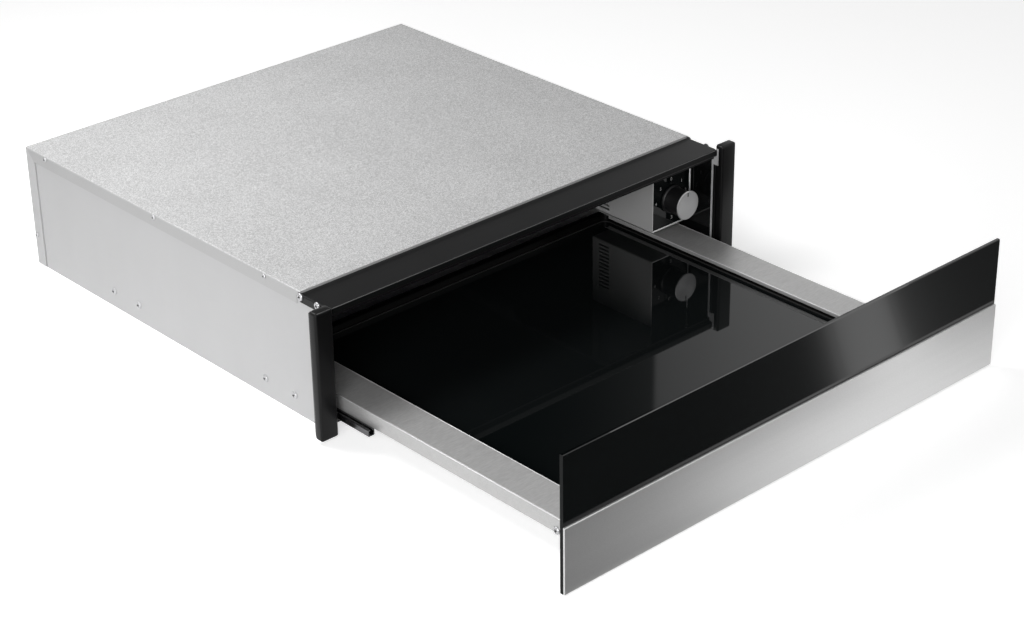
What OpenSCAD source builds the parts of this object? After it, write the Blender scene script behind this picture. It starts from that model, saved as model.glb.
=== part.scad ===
// Built-in warming drawer of the 140 mm high class, drawn out on its runners.
// Millimetres, +Z up. The drawer opens towards -Y and the controls are on the right (+X).
// Modules place their pieces from the plane of the front frame (y = 0) and the base (z = 0);
// placed() then moves everything so that the origin is the centre of the base's underside.

/* [Cabinet] */
// Width over the side lips of the top cover
cabinet_w = 534; // [510:1:550]
// Height from the base to the top cover
cabinet_h = 140.5; // [138:0.5:150]
// Depth from the front frame to the back panel's rear face
cabinet_d = 528; // [520:1:545]
// Thickness of the galvanised and enamelled sheets
sheet_t = 1; // [0.8:0.1:1.1]
// Inner radius of the bends in the sheets
bend_r = 0.6; // [0.4:0.1:0.8]
// Height of the top cover's side lips
cover_lip_h = 14; // [12:0.5:16]
// Distance from the front frame to the top cover
cover_start = 48; // [46:1:54]
// Drop of the cover's front lip onto the frame
cover_step = 2.5; // [2.2:0.1:3]
// Chamfer at the front end of the cover's side lips
cover_chamfer = 4; // [3:0.5:5]
// Depth of the back panel's side flanges
back_flange = 15; // [13:0.5:17]
// Width of the dark joint in front of a back flange
back_joint = 1.3; // [1:0.1:1.6]
// Distance from the top of the cabinet down to the cavity ceiling's underside
ceiling_drop = 13.5; // [13:0.5:14]
// Depth of the service space behind the cavity
service_d = 40; // [38:1:44]
// Thickness of the insulation on the cavity ceiling
insulation_t = 8; // [6:0.5:8]

/* [Front frame] */
// Width of a post
post_w = 21; // [18:0.5:24]
// Depth of a post
post_d = 12; // [10:0.5:14]
// Distance that the posts stand in front of the frame plane
post_front = 3; // [2:0.5:5]
// Height of the posts' lower ends above the base
post_bottom = 3.5; // [2:0.5:6]
// Rise of the posts above the top cover
post_rise = 2; // [1:0.5:3]
// Radius of the posts' upright front edges
post_edge = 2.2; // [1.5:0.1:3]
// Height of the top rail's front face
top_rail_face = 7.5; // [7:0.5:9]
// Setback of the top rail's front face from the frame plane
top_rail_front = 3; // [2:0.5:4]
// Depth of the step under the top rail's front face
top_rail_step = 4.5; // [3:0.5:6]
// Height of the lip under the step
top_rail_lip = 4; // [3:0.5:5]
// Height of the top rail's ears
ear_h = 8.5; // [7:0.5:9]
// Height of the side panels' bright tabs beside the top rail's ends
tab_h = 19; // [12:0.5:20]
// Height of the bottom rail
bottom_rail_h = 12; // [10:0.5:12]
// Setback of the bottom rail from the frame plane
bottom_rail_y = 22; // [20:1:26]
// Depth of the bottom rail's flanges
bottom_rail_d = 12; // [10:1:14]

/* [Front panel] */
// Distance that the front panel reaches past the cabinet on each side
panel_reach = 30; // [28:0.5:32]
// Rise of the front panel above the top cover
panel_rise = 2; // [1:0.5:3]
// Height of the panel's lower edge above the base
panel_bottom = 2.5; // [1:0.5:4]
// Thickness of the panel's glass
panel_glass_t = 4; // [3:0.5:5]
// Height of the steel band
band_h = 68.5; // [60:0.5:75]
// Thickness of the steel band in front of the glass
band_t = 2; // [1.5:0.1:2.5]
// Inset of the backing plate from the panel's edges
backing_inset = 4; // [3:0.5:8]

/* [Drawer] */
// Length of the drawer rails that stays behind the frame plane when the drawer stands out
rail_stay = 109.5; // [105:0.5:130]
// Height of the side channels' top face above the base
flange_z = 38.5; // [37.5:0.5:40]
// Width of the side channels' top face
flange_w = 39.8; // [38:0.1:42]
// Height of the side channels' outer skirts
skirt_h = 15.5; // [14:0.5:16]
// Drop of the side channels' inner edges
flange_lip = 4; // [3:0.5:6]
// Height of the tray's underside above the base
tray_z = 14; // [13.5:0.5:15]
// Height of the ledge that carries the glass, above the base
ledge_z = 26; // [25:0.5:28]
// Width of the ledge that carries the glass
ledge_w = 12; // [9:0.5:16]
// Thickness of the glass floor
floor_glass_t = 4; // [3:0.5:5]
// Radius of the tray's upright corners
tray_corner = 8; // [6:0.5:12]
// Width of the seal round the glass
seal_w = 1.5; // [1.2:0.1:2]
// Distance from the front panel's backing to the tray
tray_front = 13.5; // [12:0.5:16]
// Distance from the shut drawer's rear rail to the cavity's rear wall
drawer_clear = 14; // [13.5:0.5:20]
// Depth of the drawer's rear rail
rear_rail_d = 10; // [8:0.5:12]
// Height of the front rail's lower edge above the base
front_rail_z = 6; // [5:0.5:8]

/* [Runners] */
// Width of a runner's channel
channel_w = 7.8; // [7.6:0.1:8.2]
// Height of a runner's channel
channel_h = 7; // [6.8:0.1:7.6]
// Wall of a runner's channel
channel_t = 0.9; // [0.8:0.05:1]
// Width of the slot between a channel's lips
channel_slot = 2.6; // [2.4:0.1:2.8]
// Height of the outer channel's underside above the base
channel_z = 17.3; // [16.8:0.1:17.6]
// Thickness of a runner's blade
blade_t = 1.4; // [1.2:0.1:1.6]
// Width of the foot on a runner's blade
foot_w = 3.6; // [3.2:0.1:3.8]
// Thickness of the foot on a runner's blade
foot_t = 1.4; // [1.2:0.1:1.6]
// Distance between the two channels of one runner
channel_pitch = 14.8; // [14.5:0.1:15.5]
// Thickness of the fixed rail's web
rail_t = 1; // [0.9:0.1:1.2]
// Distance from the fixed rail's rear end to the cavity's rear wall
fixed_rail_clear = 7; // [6:0.5:12]
// Length by which the middle rail is shorter than the drawer rail
middle_rail_less = 90; // [88:1:100]
// Distance that the middle rail stands out in front of the frame plane
middle_out = 43; // [35:1:50]
// Distance from the drawer rail's rear end to the drawer's rear rail
drawer_rail_clear = 16; // [12:0.5:20]
// Length of a plastic glide
glide_l = 50; // [40:1:55]
// Side clearance where two runner pieces slide
slide_gap = 0.3; // [0.25:0.05:0.4]

/* [Control box] */
// Width of the control box
box_w = 59; // [57:0.5:61]
// Distance from the frame plane to the control box
box_front = 38; // [36:1:42]
// Depth of the control box
box_d = 92; // [88:1:110]
// Height of the control box's underside above the base
box_z = 47.5; // [46:0.5:50]
// Distance that the face lies back in the control box
face_setback = 1; // [0.5:0.5:2]
// Thickness of the control face
face_t = 3; // [2.5:0.5:4]
// Clearance between the control box and the cavity's right wall
box_gap = 2; // [1:0.5:3]
// Length of a vent slot
vent_l = 16; // [12:1:20]
// Height of a vent slot
vent_w = 2.2; // [1.8:0.1:2.6]
// Distance between vent slots
vent_pitch = 4.6; // [4:0.1:6]

/* [Dial] */
// Diameter of the knob's cap
knob_cap_d = 33; // [31:0.5:35]
// Diameter of the knob's body at its base
knob_base_d = 31.5; // [30:0.5:32]
// Length of the knob's body
knob_l = 22.5; // [20:0.5:24]
// Thickness of the knob's cap
knob_cap_t = 2; // [1.5:0.1:2.5]
// Height of the dial's centre above the control box's underside
knob_rise = 32; // [30:0.5:34]
// Distance of the dial's centre from the control box's left side
knob_in = 29.5; // [28:0.5:32]
// Diameter of the switch's spindle
spindle_d = 6; // [5:0.5:6.5]

/* [Heating] */
// Side of the fan's frame
fan_size = 80; // [70:1:84]
// Depth of the fan's frame
fan_d = 25; // [20:1:28]
// Distance from the cavity ceiling's level down to the fan's frame
fan_drop = 6; // [4:0.5:8]
// Distance of the fan's centre from the middle
fan_x = 56; // [52:1:70]
// Diameter of the fan's hub
fan_hub_d = 30; // [26:1:34]
// Diameter of the heating element's tube
heater_d = 6.5; // [6:0.5:8]
// Distance between the passes of the heating element
heater_pitch = 22; // [18:1:24]
// Length of the heating element's straight passes
heater_l = 140; // [110:1:150]

/* [Push latch] */
// Outer diameter of the latch's barrel
latch_d = 12; // [10:0.5:13]
// Length of the latch's barrel behind the cavity
latch_l = 34; // [28:1:36]
// Diameter of the plunger
plunger_d = 6; // [5:0.5:7]
// Height of the latch's centre above the base
latch_z = 26; // [25:0.5:28]
// Travel of the plunger
latch_travel = 8; // [6:0.5:9]

/* [Connection] */
// Diameter of the hole through the cable gland
gland_bore_d = 8; // [7:0.5:9]
// Outer diameter of the cable gland's body
gland_d = 16; // [14:0.5:18]
// Distance of the cable gland from the side of the cabinet
gland_in = 67; // [60:1:80]
// Distance of the cable gland below the top of the cabinet
gland_drop = 45.5; // [40:0.5:50]

/* [Fasteners] */
// Head diameter of the small screws
screw_head_d = 5.5; // [5:0.1:6]
// Head diameter of the frame screws
frame_screw_head_d = 8; // [7:0.1:8]
// Head diameter of the runner screws
runner_screw_head_d = 7; // [6:0.1:7.5]
// Shank diameter of the screws
screw_shank_d = 3; // [2.5:0.1:3.5]
// Height of a screw's head
screw_head_h = 1.8; // [1.5:0.1:2.2]

/* [Hidden] */

// Facets of a full circle
$fn = 48;
// Steps in a bend
bend_steps = 4;
// Overrun of a cut past the face it starts from
over = 1;
// Clearance of a piece pressed or clipped into its seat
seat_gap = 0.05;
// Clearance of a screw's shank in its hole
shank_gap = 0.1;

// Cabinet, across
half_w = cabinet_w / 2;
side_out = half_w - sheet_t;
side_in = side_out - sheet_t;
ceiling_z = cabinet_h - ceiling_drop;
wall_in = side_in - sheet_t;
// Cabinet, upwards
cover_under = cabinet_h - sheet_t;
rail_top = cabinet_h - cover_step;
rail_step_z = rail_top - top_rail_face;
// Cabinet, front to back
back_in = cabinet_d - sheet_t;
rear_wall_y = cabinet_d - service_d - sheet_t;
rear_wall_back = rear_wall_y + sheet_t;
base_mid = (bottom_rail_y + cabinet_d) / 2;
// Tuck of the top rail under the cover, and the ends of its ears
rail_tuck = 12;
post_back = post_d - post_front;
flange_reach = 11.5;
flange_y = post_back - sheet_t;
hem_y = flange_y + sheet_t / 2;
hem_l = sheet_t;
tab_front = top_rail_front / 2;
tab_top = rail_top + sheet_t;
post_leg = 3;
ear_end = cover_start + cover_step;
cover_lip_start = ear_end + cover_step;

// Front panel and the drawer's places, from the frame plane with the drawer pressed shut
shut_gap = 0.5;
backing_t = sheet_t;
panel_w = cabinet_w + 2 * panel_reach;
panel_h = cabinet_h + panel_rise - panel_bottom;
backing_back = -post_front - shut_gap;
glass_back = backing_back - backing_t;
glass_front = glass_back - panel_glass_t;

// Runners, across
channel_mid = side_in - rail_t - slide_gap - channel_w / 2;
inner_mid = channel_mid - channel_pitch;
skirt_gap = 0.6;
drawer_half = channel_mid - channel_w / 2 - skirt_gap;
flange_in = drawer_half - flange_w;
// Runners, upwards
flange_under = flange_z - sheet_t;
skirt_z = flange_z - skirt_h;
bridge_gap = 1.2;
bridge_z = skirt_z - bridge_gap - channel_t;
foot_rise = 2.3;
rail_head = 7.2;
fixed_rail_top = channel_z + channel_h + rail_head;
rail_bottom_gap = 2.3;
// Runners, front to back
fixed_rail_y = 12;
fixed_rail_l = rear_wall_y - fixed_rail_clear - fixed_rail_y;
middle_rail_y = -middle_out;
drawer_rail_y = 7;
drawer_back = rear_wall_y - drawer_clear;
tray_back = drawer_back - rear_rail_d;
drawer_rail_l = tray_back - drawer_rail_clear - drawer_rail_y;
drawer_out = drawer_rail_y + drawer_rail_l - rail_stay;
middle_rail_l = drawer_rail_l - middle_rail_less;
cabinet_glide_in = 12;
cabinet_glide_y = middle_rail_y + drawer_out / 2 + cabinet_glide_in;

// Drawer
tray_half = flange_in + 2 * sheet_t + bend_r;
tray_in = tray_half - sheet_t;
tray_y = backing_back + tray_front;
rail_end_gap = 3;
rear_rail_half = inner_mid - channel_w / 2 - rail_end_gap / 3;
bracket_foot = 18;
bracket_l = 58;
front_rail_half = drawer_half - sheet_t - bracket_foot - rail_end_gap / 3;
bracket_z = skirt_z + shut_gap;

// Control box
box_right = wall_in - box_gap;
box_left = box_right - box_w;
knob_x = box_left + knob_in;
knob_z = box_z + knob_rise;
face_y = box_front + face_setback;
knob_gap = 1;
knob_y = face_y - knob_gap;
vent_count = 12;
vent_back = 10;
vent_z = box_z + 5 * sheet_t;
bushing_d = 10;
bushing_l = 7;
switch_w = 34;
switch_l = 28;
switch_cut = 16;
switch_tab = 6.4;
spindle_gap = 0.08;
spindle_back = 12;
spindle_short = 6;

// Fan and heater
fan_wall = 1.6;
fan_gap = 1.5;
fan_corner = 4;
fan_front_gap = 3;
rotor_l = 15;
blade_count = 7;
blade_skin = 1.3;
blade_pitch = 38;
motor_gap = 0.5;
strut_w = 4;
strut_t = 3;
fan_z = ceiling_z - fan_drop - fan_size / 2;
heater_in = 32;
heater_x = -half_w + heater_in;
heater_back = 14;
heater_drop = 11;
heater_passes = 4;
heater_y = rear_wall_back + heater_back;
heater_z = ceiling_z - heater_drop - (heater_passes - 1) * heater_pitch;
heater_pin_d = 2.5;
heater_pin_l = 9;
clip_w = 8;
cutout_d = 16;
cutout_t = 8;
cutout_x = fan_x + fan_size;
terminal_w = 36;
terminal_d = 16;
terminal_h = 14;
terminal_screw_d = 4;
terminal_drop = 35;
gland_x = half_w - gland_in;
gland_z = cabinet_h - gland_drop;
terminal_z = gland_z - terminal_drop;
gland_flange_t = 3;
gland_flange_w = 24;
gland_l = 12;
gland_nut_t = 5;
grille_rings = 3;
grille_bar = 3.2;
grille_spokes = 6;
outlet_count = 9;
outlet_w = 5;
outlet_h = 52;
outlet_pitch = 15;
louvre_count = 8;
louvre_w = 4;
louvre_h = 40;
louvre_pitch = 11;

// Push latch
latch_flange_d = 20;
latch_flange_t = 2;
plunger_gap = 0.3;
plunger_head_t = 3;
plunger_head_d = 9;
plunger_proud = 3.5;
plunger_stop = 9;
latch_tip_y = rear_wall_y - latch_flange_t - plunger_proud;
plunger_l = rear_wall_back + latch_flange_t + latch_travel + plunger_stop + plunger_head_t
            - latch_tip_y;
catch_w = 24;
spring_wire_d = 0.8;
spring_d = 8;
spring_turns = 7;
spring_sides = 6;
spring_steps = 12;

// Places of the screws, from the frame plane and the base
cover_screw_shares = [0.115, 0.5, 0.92];
cover_screw_ys = [for (share = cover_screw_shares) cover_start + share * (cabinet_d - cover_start)];
cover_screw_z = cabinet_h - 1.2 * screw_head_d / 2;
frame_screw_ys = [post_back + 1.5 * frame_screw_head_d, ear_end - 0.4 * frame_screw_head_d];
frame_screw_z = rail_top - 0.7 * frame_screw_head_d / 2;
runner_screw_shares = [0.118, 0.218, 0.686, 0.784];
runner_screw_ys = [for (share = runner_screw_shares) fixed_rail_y + share * fixed_rail_l];
runner_screw_z = fixed_rail_top - 12 * sheet_t;
post_screw_shares = [0.2, 0.5, 0.8];
post_screw_x = half_w + 0.6 * flange_reach;
back_screw_y = cabinet_d - back_flange / 4;
back_screw_z = 36;
skirt_screw_y = 43.5;
skirt_screw_z = skirt_z + 0.35 * frame_screw_head_d;
shank_l = 4;

// A direction of length one, its left-hand normal, and a vector turned by an angle
function unit(v) = v / norm(v);
function left_of(v) = [-v[1], v[0]];
function spun(v, a) = [v[0] * cos(a) - v[1] * sin(a), v[0] * sin(a) + v[1] * cos(a)];
function turn(a, b) = atan2(a[0] * b[1] - a[1] * b[0], a * b);

// One face of a sheet bent along a path: side 0 is the path, side 1 lies t to its left
function bent_face(p, t, r, side) = [
    for (i = [0 : len(p) - 1])
        let (d = unit(i > 0 ? p[i] - p[i - 1] : p[1] - p[0]),
             e = i > 0 && i < len(p) - 1 ? unit(p[i + 1] - p[i]) : d,
             a = turn(d, e), s = sign(a), path_r = a > 0 ? r + t : r,
             c = p[i] - d * path_r * tan(abs(a) / 2) + s * left_of(d) * path_r,
             face_r = path_r - s * side * t)
        each a == 0 ? [p[i] + side * t * left_of(d)]
                    : [for (k = [0 : bend_steps])
                          c - s * face_r * spun(left_of(d), a * k / bend_steps)]
];

// Outline of a sheet of thickness t, bent along a path with an inner radius r
function bent(p, t, r) = let (back = bent_face(p, t, r, 1)) concat(
    bent_face(p, t, r, 0), [for (i = [len(back) - 1 : -1 : 0]) back[i]]);

// Moves a piece from the frame plane to the part's origin
module placed() {
    translate([0, -base_mid, 0]) children();
}

// Moves a piece with the drawn-out drawer
module on_drawer() {
    placed() translate([0, -drawer_out, 0]) children();
}

// A section drawn in X and Z, run along Y
module along_y(from, to) {
    translate([0, to, 0]) rotate([90, 0, 0]) linear_extrude(height = to - from) children();
}

// A section drawn in Y and Z, run along X
module along_x(from, to) {
    translate([from, 0, 0]) rotate([90, 0, 90]) linear_extrude(height = to - from) children();
}

// A block between two corners
module block(lo, hi) {
    translate(lo) cube(hi - lo);
}

// A cylinder along Y, X or Z from a point
module rod_y(x, z, from, to, d) {
    translate([x, to, z]) rotate([90, 0, 0]) cylinder(h = to - from, d = d);
}

module rod_x(from, to, y, z, d) {
    translate([from, y, z]) rotate([0, 90, 0]) cylinder(h = to - from, d = d);
}

// A rectangle between two corners with its lower corners cut off by c
module cut_plate(lo, hi, c) {
    polygon([[lo[0] + c, lo[1]], [hi[0] - c, lo[1]], [hi[0], lo[1] + c], hi, [lo[0], hi[1]],
             [lo[0], lo[1] + c]]);
}

// The right-hand shape mirrored to the left
module mirrored() {
    mirror([1, 0, 0]) children();
}

// A rectangle with round corners, from its centre
module round_rect(w, h, r) {
    union() {
        square([w - 2 * r, h], center = true);
        square([w, h - 2 * r], center = true);
        for (sx = [-1, 1], sy = [-1, 1])
            translate([sx * (w / 2 - r), sy * (h / 2 - r)]) circle(r = r);
    }
}

// A pan-head screw standing on X = 0 with its head towards +X
module screw_x(head_d, tip) {
    rotate([0, 90, 0]) union() {
        rotate_extrude($fn = 20)
            polygon([[0, 0], [head_d / 2, 0], [head_d / 2, screw_head_h * 0.45],
                     [head_d * 0.36, screw_head_h * 0.9], [0, screw_head_h]]);
        translate([0, 0, -tip]) cylinder(h = tip, d = screw_shank_d, $fn = 16);
    }
}

// Screw holes through the right side at the given places
module side_holes(ys, z, depth) {
    for (y = ys)
        rod_x(half_w - depth, half_w + over, y, z, screw_shank_d + 2 * shank_gap);
}

module base_pan() {
    color("lightgray") placed() difference() {
        union() {
            along_y(bottom_rail_y + bottom_rail_d, back_in)
                polygon(bent([[-side_in, bottom_rail_h - rail_bottom_gap], [-side_in, 0],
                              [side_in, 0], [side_in, bottom_rail_h - rail_bottom_gap]],
                             sheet_t, bend_r));
            block([-wall_in, back_in - sheet_t, 0], [wall_in, back_in, bottom_rail_h]);
        }
        for (x = [-1, 0, 1])
            rod_y(x * (half_w - 4 * back_flange), bottom_rail_h / 2, back_in - sheet_t - over,
                  cabinet_d, screw_shank_d + 2 * shank_gap);
    }
}

// The right side panel: a flat sheet, a flange outwards behind the post, a hem inwards before the
// cavity's wall, a tab beside the top rail's end where it has one, and a stepped rear edge
module side_panel(tab) {
    flange_top = rail_top - ear_h - shut_gap;
    lap_y = cabinet_d - back_flange - back_joint;
    difference() {
        union() {
            block([side_in, flange_y, 0], [side_out, ear_end, rail_top - sheet_t - bend_r]);
            block([wall_in, hem_y, fixed_rail_top + shut_gap], [side_in, hem_y + hem_l, ceiling_z]);
            if (tab) {
                block([side_in, tab_front, tab_top - tab_h],
                      [side_out, flange_y, rail_top - sheet_t - bend_r]);
                block([side_in, tab_front, tab_top - tab_h],
                      [side_out, tab_front + 2 * sheet_t, tab_top]);
            }
            block([side_in, ear_end, 0], [side_out, lap_y, cover_under - bend_r]);
            block([side_in, lap_y + back_joint, 0], [side_out, back_in, cover_under - bend_r]);
            block([wall_in, lap_y - 2 * sheet_t, bottom_rail_h],
                  [side_in, lap_y + back_joint + 2 * sheet_t, ceiling_z]);
            block([side_in, flange_y, post_bottom + sheet_t],
                  [half_w + flange_reach, post_back, flange_top]);
        }
        side_holes(runner_screw_ys, runner_screw_z, 3 * sheet_t);
        side_holes(cover_screw_ys, cover_screw_z, 3 * sheet_t);
        side_holes(frame_screw_ys, frame_screw_z, 3 * sheet_t);
        side_holes([back_screw_y], back_screw_z, 4 * sheet_t);
        for (share = post_screw_shares)
            rod_y(post_screw_x, cabinet_h * share, flange_y - over,
                  post_back + over, screw_shank_d + 2 * shank_gap);
    }
}

module right_side_panel() {
    color("silver") placed() side_panel(true);
}

module left_side_panel() {
    color("silver") placed() mirrored() side_panel(false);
}

module back_panel() {
    lap_y = cabinet_d - back_flange;
    color("silver") placed() difference() {
        union() {
            block([-side_out, back_in, 0], [side_out, cabinet_d, cover_under - bend_r]);
            for (m = [0, 1]) mirror([m, 0, 0]) along_x(side_out, half_w)
                polygon([[lap_y, sheet_t], [cabinet_d, sheet_t], [cabinet_d, cabinet_h],
                         [lap_y, cabinet_h - back_flange]]);
        }
        // Air louvres behind the fan, the gland's hole and the screws' holes
        for (i = [0 : louvre_count - 1])
            block([fan_x + (i - (louvre_count - 1) / 2) * louvre_pitch - louvre_w / 2, back_in - over,
                   fan_z - louvre_h / 2],
                  [fan_x + (i - (louvre_count - 1) / 2) * louvre_pitch + louvre_w / 2,
                   cabinet_d + over, fan_z + louvre_h / 2]);
        rod_y(gland_x, gland_z, back_in - over, cabinet_d + over, gland_d + 2 * shank_gap);
        for (x = [-1, 0, 1])
            rod_y(x * (half_w - 4 * back_flange), bottom_rail_h / 2, back_in - over,
                  cabinet_d + over, screw_shank_d + 2 * shank_gap);
        for (m = [0, 1]) mirror([m, 0, 0])
            side_holes([back_screw_y], back_screw_z, 2 * sheet_t);
    }
}

module top_cover() {
    lip_z = cabinet_h - cover_lip_h;
    color("silver") placed() difference() {
        union() {
            along_y(cover_start, cabinet_d)
                polygon(bent([[half_w, lip_z], [half_w, cabinet_h], [-half_w, cabinet_h],
                              [-half_w, lip_z]], sheet_t, bend_r));
            block([-side_in, cover_start, rail_top], [side_in, cover_start + sheet_t, cover_under]);
        }
        // The side lips: cut back behind the frame's ears, chamfered, and mitred at the rear
        for (m = [0, 1]) mirror([m, 0, 0]) along_x(side_out, half_w + over) {
            polygon([[cover_start - over, lip_z - over], [cover_lip_start, lip_z - over],
                     [cover_lip_start, cover_under - cover_chamfer],
                     [cover_start + cover_chamfer - cover_step, cover_under],
                     [cover_start - over, cover_under]]);
            polygon([[cabinet_d - back_flange - seat_gap, lip_z - over],
                     [cabinet_d - back_flange - seat_gap, cabinet_h - back_flange],
                     [cabinet_d - seat_gap, cabinet_h],
                     [cabinet_d + over, cabinet_h], [cabinet_d + over, lip_z - over]]);
        }
        for (m = [0, 1]) mirror([m, 0, 0])
            side_holes(cover_screw_ys, cover_screw_z, 2 * sheet_t);
    }
}

module top_rail() {
    lip_y = top_rail_front + top_rail_step;
    color([0.06, 0.06, 0.06]) placed() difference() {
        union() {
            along_x(-side_in, side_in)
                polygon(bent([[cover_start + rail_tuck, rail_top], [top_rail_front, rail_top],
                              [top_rail_front, rail_step_z], [lip_y, rail_step_z],
                              [lip_y, rail_step_z - top_rail_lip]], sheet_t, bend_r));
            for (m = [0, 1]) mirror([m, 0, 0]) along_y(flange_y, ear_end)
                polygon(bent([[half_w, rail_top - ear_h], [half_w, rail_top],
                              [wall_in, rail_top]], sheet_t, bend_r));
        }
        for (m = [0, 1]) mirror([m, 0, 0]) {
            side_holes(frame_screw_ys, frame_screw_z, 2 * sheet_t);
            // Sloped rear end of the ear
            along_x(side_out, half_w + over)
                polygon([[ear_end - ear_h / 3, rail_top - ear_h - over],
                         [ear_end - ear_h / 3, rail_top - ear_h], [ear_end, rail_top - ear_h * 2 / 3],
                         [ear_end + over, rail_top - ear_h * 2 / 3],
                         [ear_end + over, rail_top - ear_h - over]]);
        }
    }
}

module bottom_rail() {
    color([0.06, 0.06, 0.06]) placed() along_x(-side_in, side_in)
        polygon(bent([[bottom_rail_y + bottom_rail_d, bottom_rail_h],
                      [bottom_rail_y, bottom_rail_h], [bottom_rail_y, 0],
                      [bottom_rail_y + bottom_rail_d, 0]], sheet_t, bend_r));
}

// The right post, closed at both ends; its leg stops under the side panel's tab where there is one
module post(tab) {
    top = cabinet_h + post_rise;
    leg_top = tab ? tab_top - tab_h - seat_gap : rail_top - sheet_t - seat_gap;
    mid_x = half_w + shut_gap + post_w / 2;
    bevel = post_edge / 3;
    difference() {
        union() {
            translate([mid_x, 0, post_bottom + bevel])
                linear_extrude(height = top - post_bottom - 2 * bevel) post_section(0);
            translate([mid_x, 0, post_bottom])
                linear_extrude(height = top - post_bottom) post_section(bevel);
            // The leg that hides the side panel's flange
            block([side_in, flange_y - post_leg, post_bottom + bevel],
                  [mid_x, flange_y, leg_top]);
            block([side_out + seat_gap, flange_y - post_leg, post_bottom + bevel],
                  [mid_x, flange_y, rail_top - ear_h - shut_gap]);
        }
        for (share = post_screw_shares)
            rod_y(post_screw_x, cabinet_h * share, flange_y - shank_l - sheet_t,
                  post_back + over, screw_shank_d + 2 * shank_gap);
    }
}

// Section of a post, drawn in by an inset
module post_section(inset) {
    r = post_edge - inset;
    w = post_w / 2 - inset;
    rebate = flange_reach + seat_gap - shut_gap - post_w / 2;
    polygon(concat(
        [[w, post_back], [rebate, post_back], [rebate, flange_y], [-w, flange_y]],
        [for (k = [0 : bend_steps])
            [-w + r - r * cos(90 * k / bend_steps), -post_front + inset + r - r * sin(90 * k / bend_steps)]],
        [for (k = [bend_steps : -1 : 0])
            [w - r + r * cos(90 * k / bend_steps), -post_front + inset + r - r * sin(90 * k / bend_steps)]]));
}

module right_post() {
    color([0.07, 0.07, 0.07]) placed() post(true);
}

module left_post() {
    color([0.07, 0.07, 0.07]) placed() mirrored() post(false);
}

module cavity_ceiling() {
    color([0.08, 0.08, 0.08]) placed()
        block([-side_in, top_rail_front + top_rail_step + sheet_t, ceiling_z],
              [side_in, rear_wall_back, ceiling_z + sheet_t]);
}

module cavity_side_wall() {
    block([wall_in, hem_y + hem_l, fixed_rail_top + shut_gap], [side_in, rear_wall_y, ceiling_z]);
}

module cavity_left_wall() {
    color([0.08, 0.08, 0.08]) placed() mirrored() cavity_side_wall();
}

module cavity_right_wall() {
    color([0.08, 0.08, 0.08]) placed() cavity_side_wall();
}

// The fan's round grille: rings of slots between spokes
module grille_slots() {
    outer = fan_size / 2 - fan_corner;
    step = (outer - fan_hub_d / 2) / grille_rings;
    difference() {
        union() for (i = [0 : grille_rings - 1]) difference() {
            circle(r = outer - i * step);
            circle(r = outer - (i + 1) * step + grille_bar);
        }
        for (k = [0 : grille_spokes - 1]) rotate(k * 360 / grille_spokes)
            translate([0, -grille_bar / 2]) square([outer + over, grille_bar]);
    }
}

module cavity_rear_wall() {
    color([0.08, 0.08, 0.08]) placed() difference() {
        along_y(rear_wall_y, rear_wall_back) difference() {
            cut_plate([-wall_in, sheet_t], [wall_in, ceiling_z], bend_r);
            translate([fan_x, fan_z]) grille_slots();
            for (i = [0 : outlet_count - 1])
                translate([heater_x + heater_pitch / 2 + i * outlet_pitch, heater_z + heater_pitch / 2])
                    square([outlet_w, outlet_h]);
        }
        rod_y(0, latch_z, rear_wall_y - over, rear_wall_back + over, latch_d + 2 * shank_gap);
    }
}

module ceiling_insulation() {
    color("khaki") placed()
        block([-wall_in + shank_l, cover_start + rail_tuck + sheet_t, ceiling_z + sheet_t],
              [wall_in - shank_l, rear_wall_back, ceiling_z + sheet_t + insulation_t]);
}

module control_box() {
    back = box_front + box_d;
    color("gainsboro") placed() difference() {
        union() {
            along_y(box_front, back)
                polygon(bent([[box_left, ceiling_z], [box_left, box_z], [box_right, box_z],
                              [box_right, ceiling_z]], sheet_t, bend_r));
            block([box_left + sheet_t, back - sheet_t, box_z + sheet_t],
                  [box_right - sheet_t, back, ceiling_z]);
        }
        // Vent slots, one above the other near the rear end
        for (i = [0 : vent_count - 1])
            translate([box_left - over, back - vent_back - vent_l, vent_z + i * vent_pitch])
                cube([2 * over + sheet_t, vent_l, vent_w]);
    }
}

module control_face() {
    color([0.03, 0.03, 0.03]) placed() difference() {
        along_y(face_y, face_y + face_t)
            cut_plate([box_left + sheet_t, box_z + sheet_t], [box_right - sheet_t, ceiling_z], bend_r);
        rod_y(knob_x, knob_z, face_y - over, face_y + face_t + over, bushing_d + 2 * shank_gap);
    }
}

module thermostat_switch() {
    switch_y = face_y + face_t;
    color("dimgray") placed() difference() {
        union() {
            block([knob_x - switch_w / 2, switch_y + sheet_t, knob_z - switch_w / 2 + sheet_t],
                  [knob_x + switch_w / 2 - switch_cut, switch_y + switch_l, knob_z + switch_w / 2]);
            rod_y(knob_x, knob_z, switch_y, switch_y + switch_l / 2, switch_w * 0.8);
            rod_y(knob_x, knob_z, face_y, switch_y + over, bushing_d);
            // Terminal tabs at the rear
            for (s = [-1, 0, 1])
                block([knob_x - 2 * switch_tab, switch_y + switch_l, knob_z + s * bushing_d - sheet_t / 2],
                      [knob_x - switch_tab, switch_y + switch_l + bushing_l, knob_z + s * bushing_d
                       + sheet_t / 2]);
        }
        rod_y(knob_x, knob_z, face_y - over, switch_y + spindle_back + spindle_gap + spindle_gap,
              spindle_d + 2 * spindle_gap);
    }
}

module switch_spindle() {
    color("silver") placed()
        rod_y(knob_x, knob_z, knob_y - knob_l + spindle_short, face_y + face_t + spindle_back,
              spindle_d);
}

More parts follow.
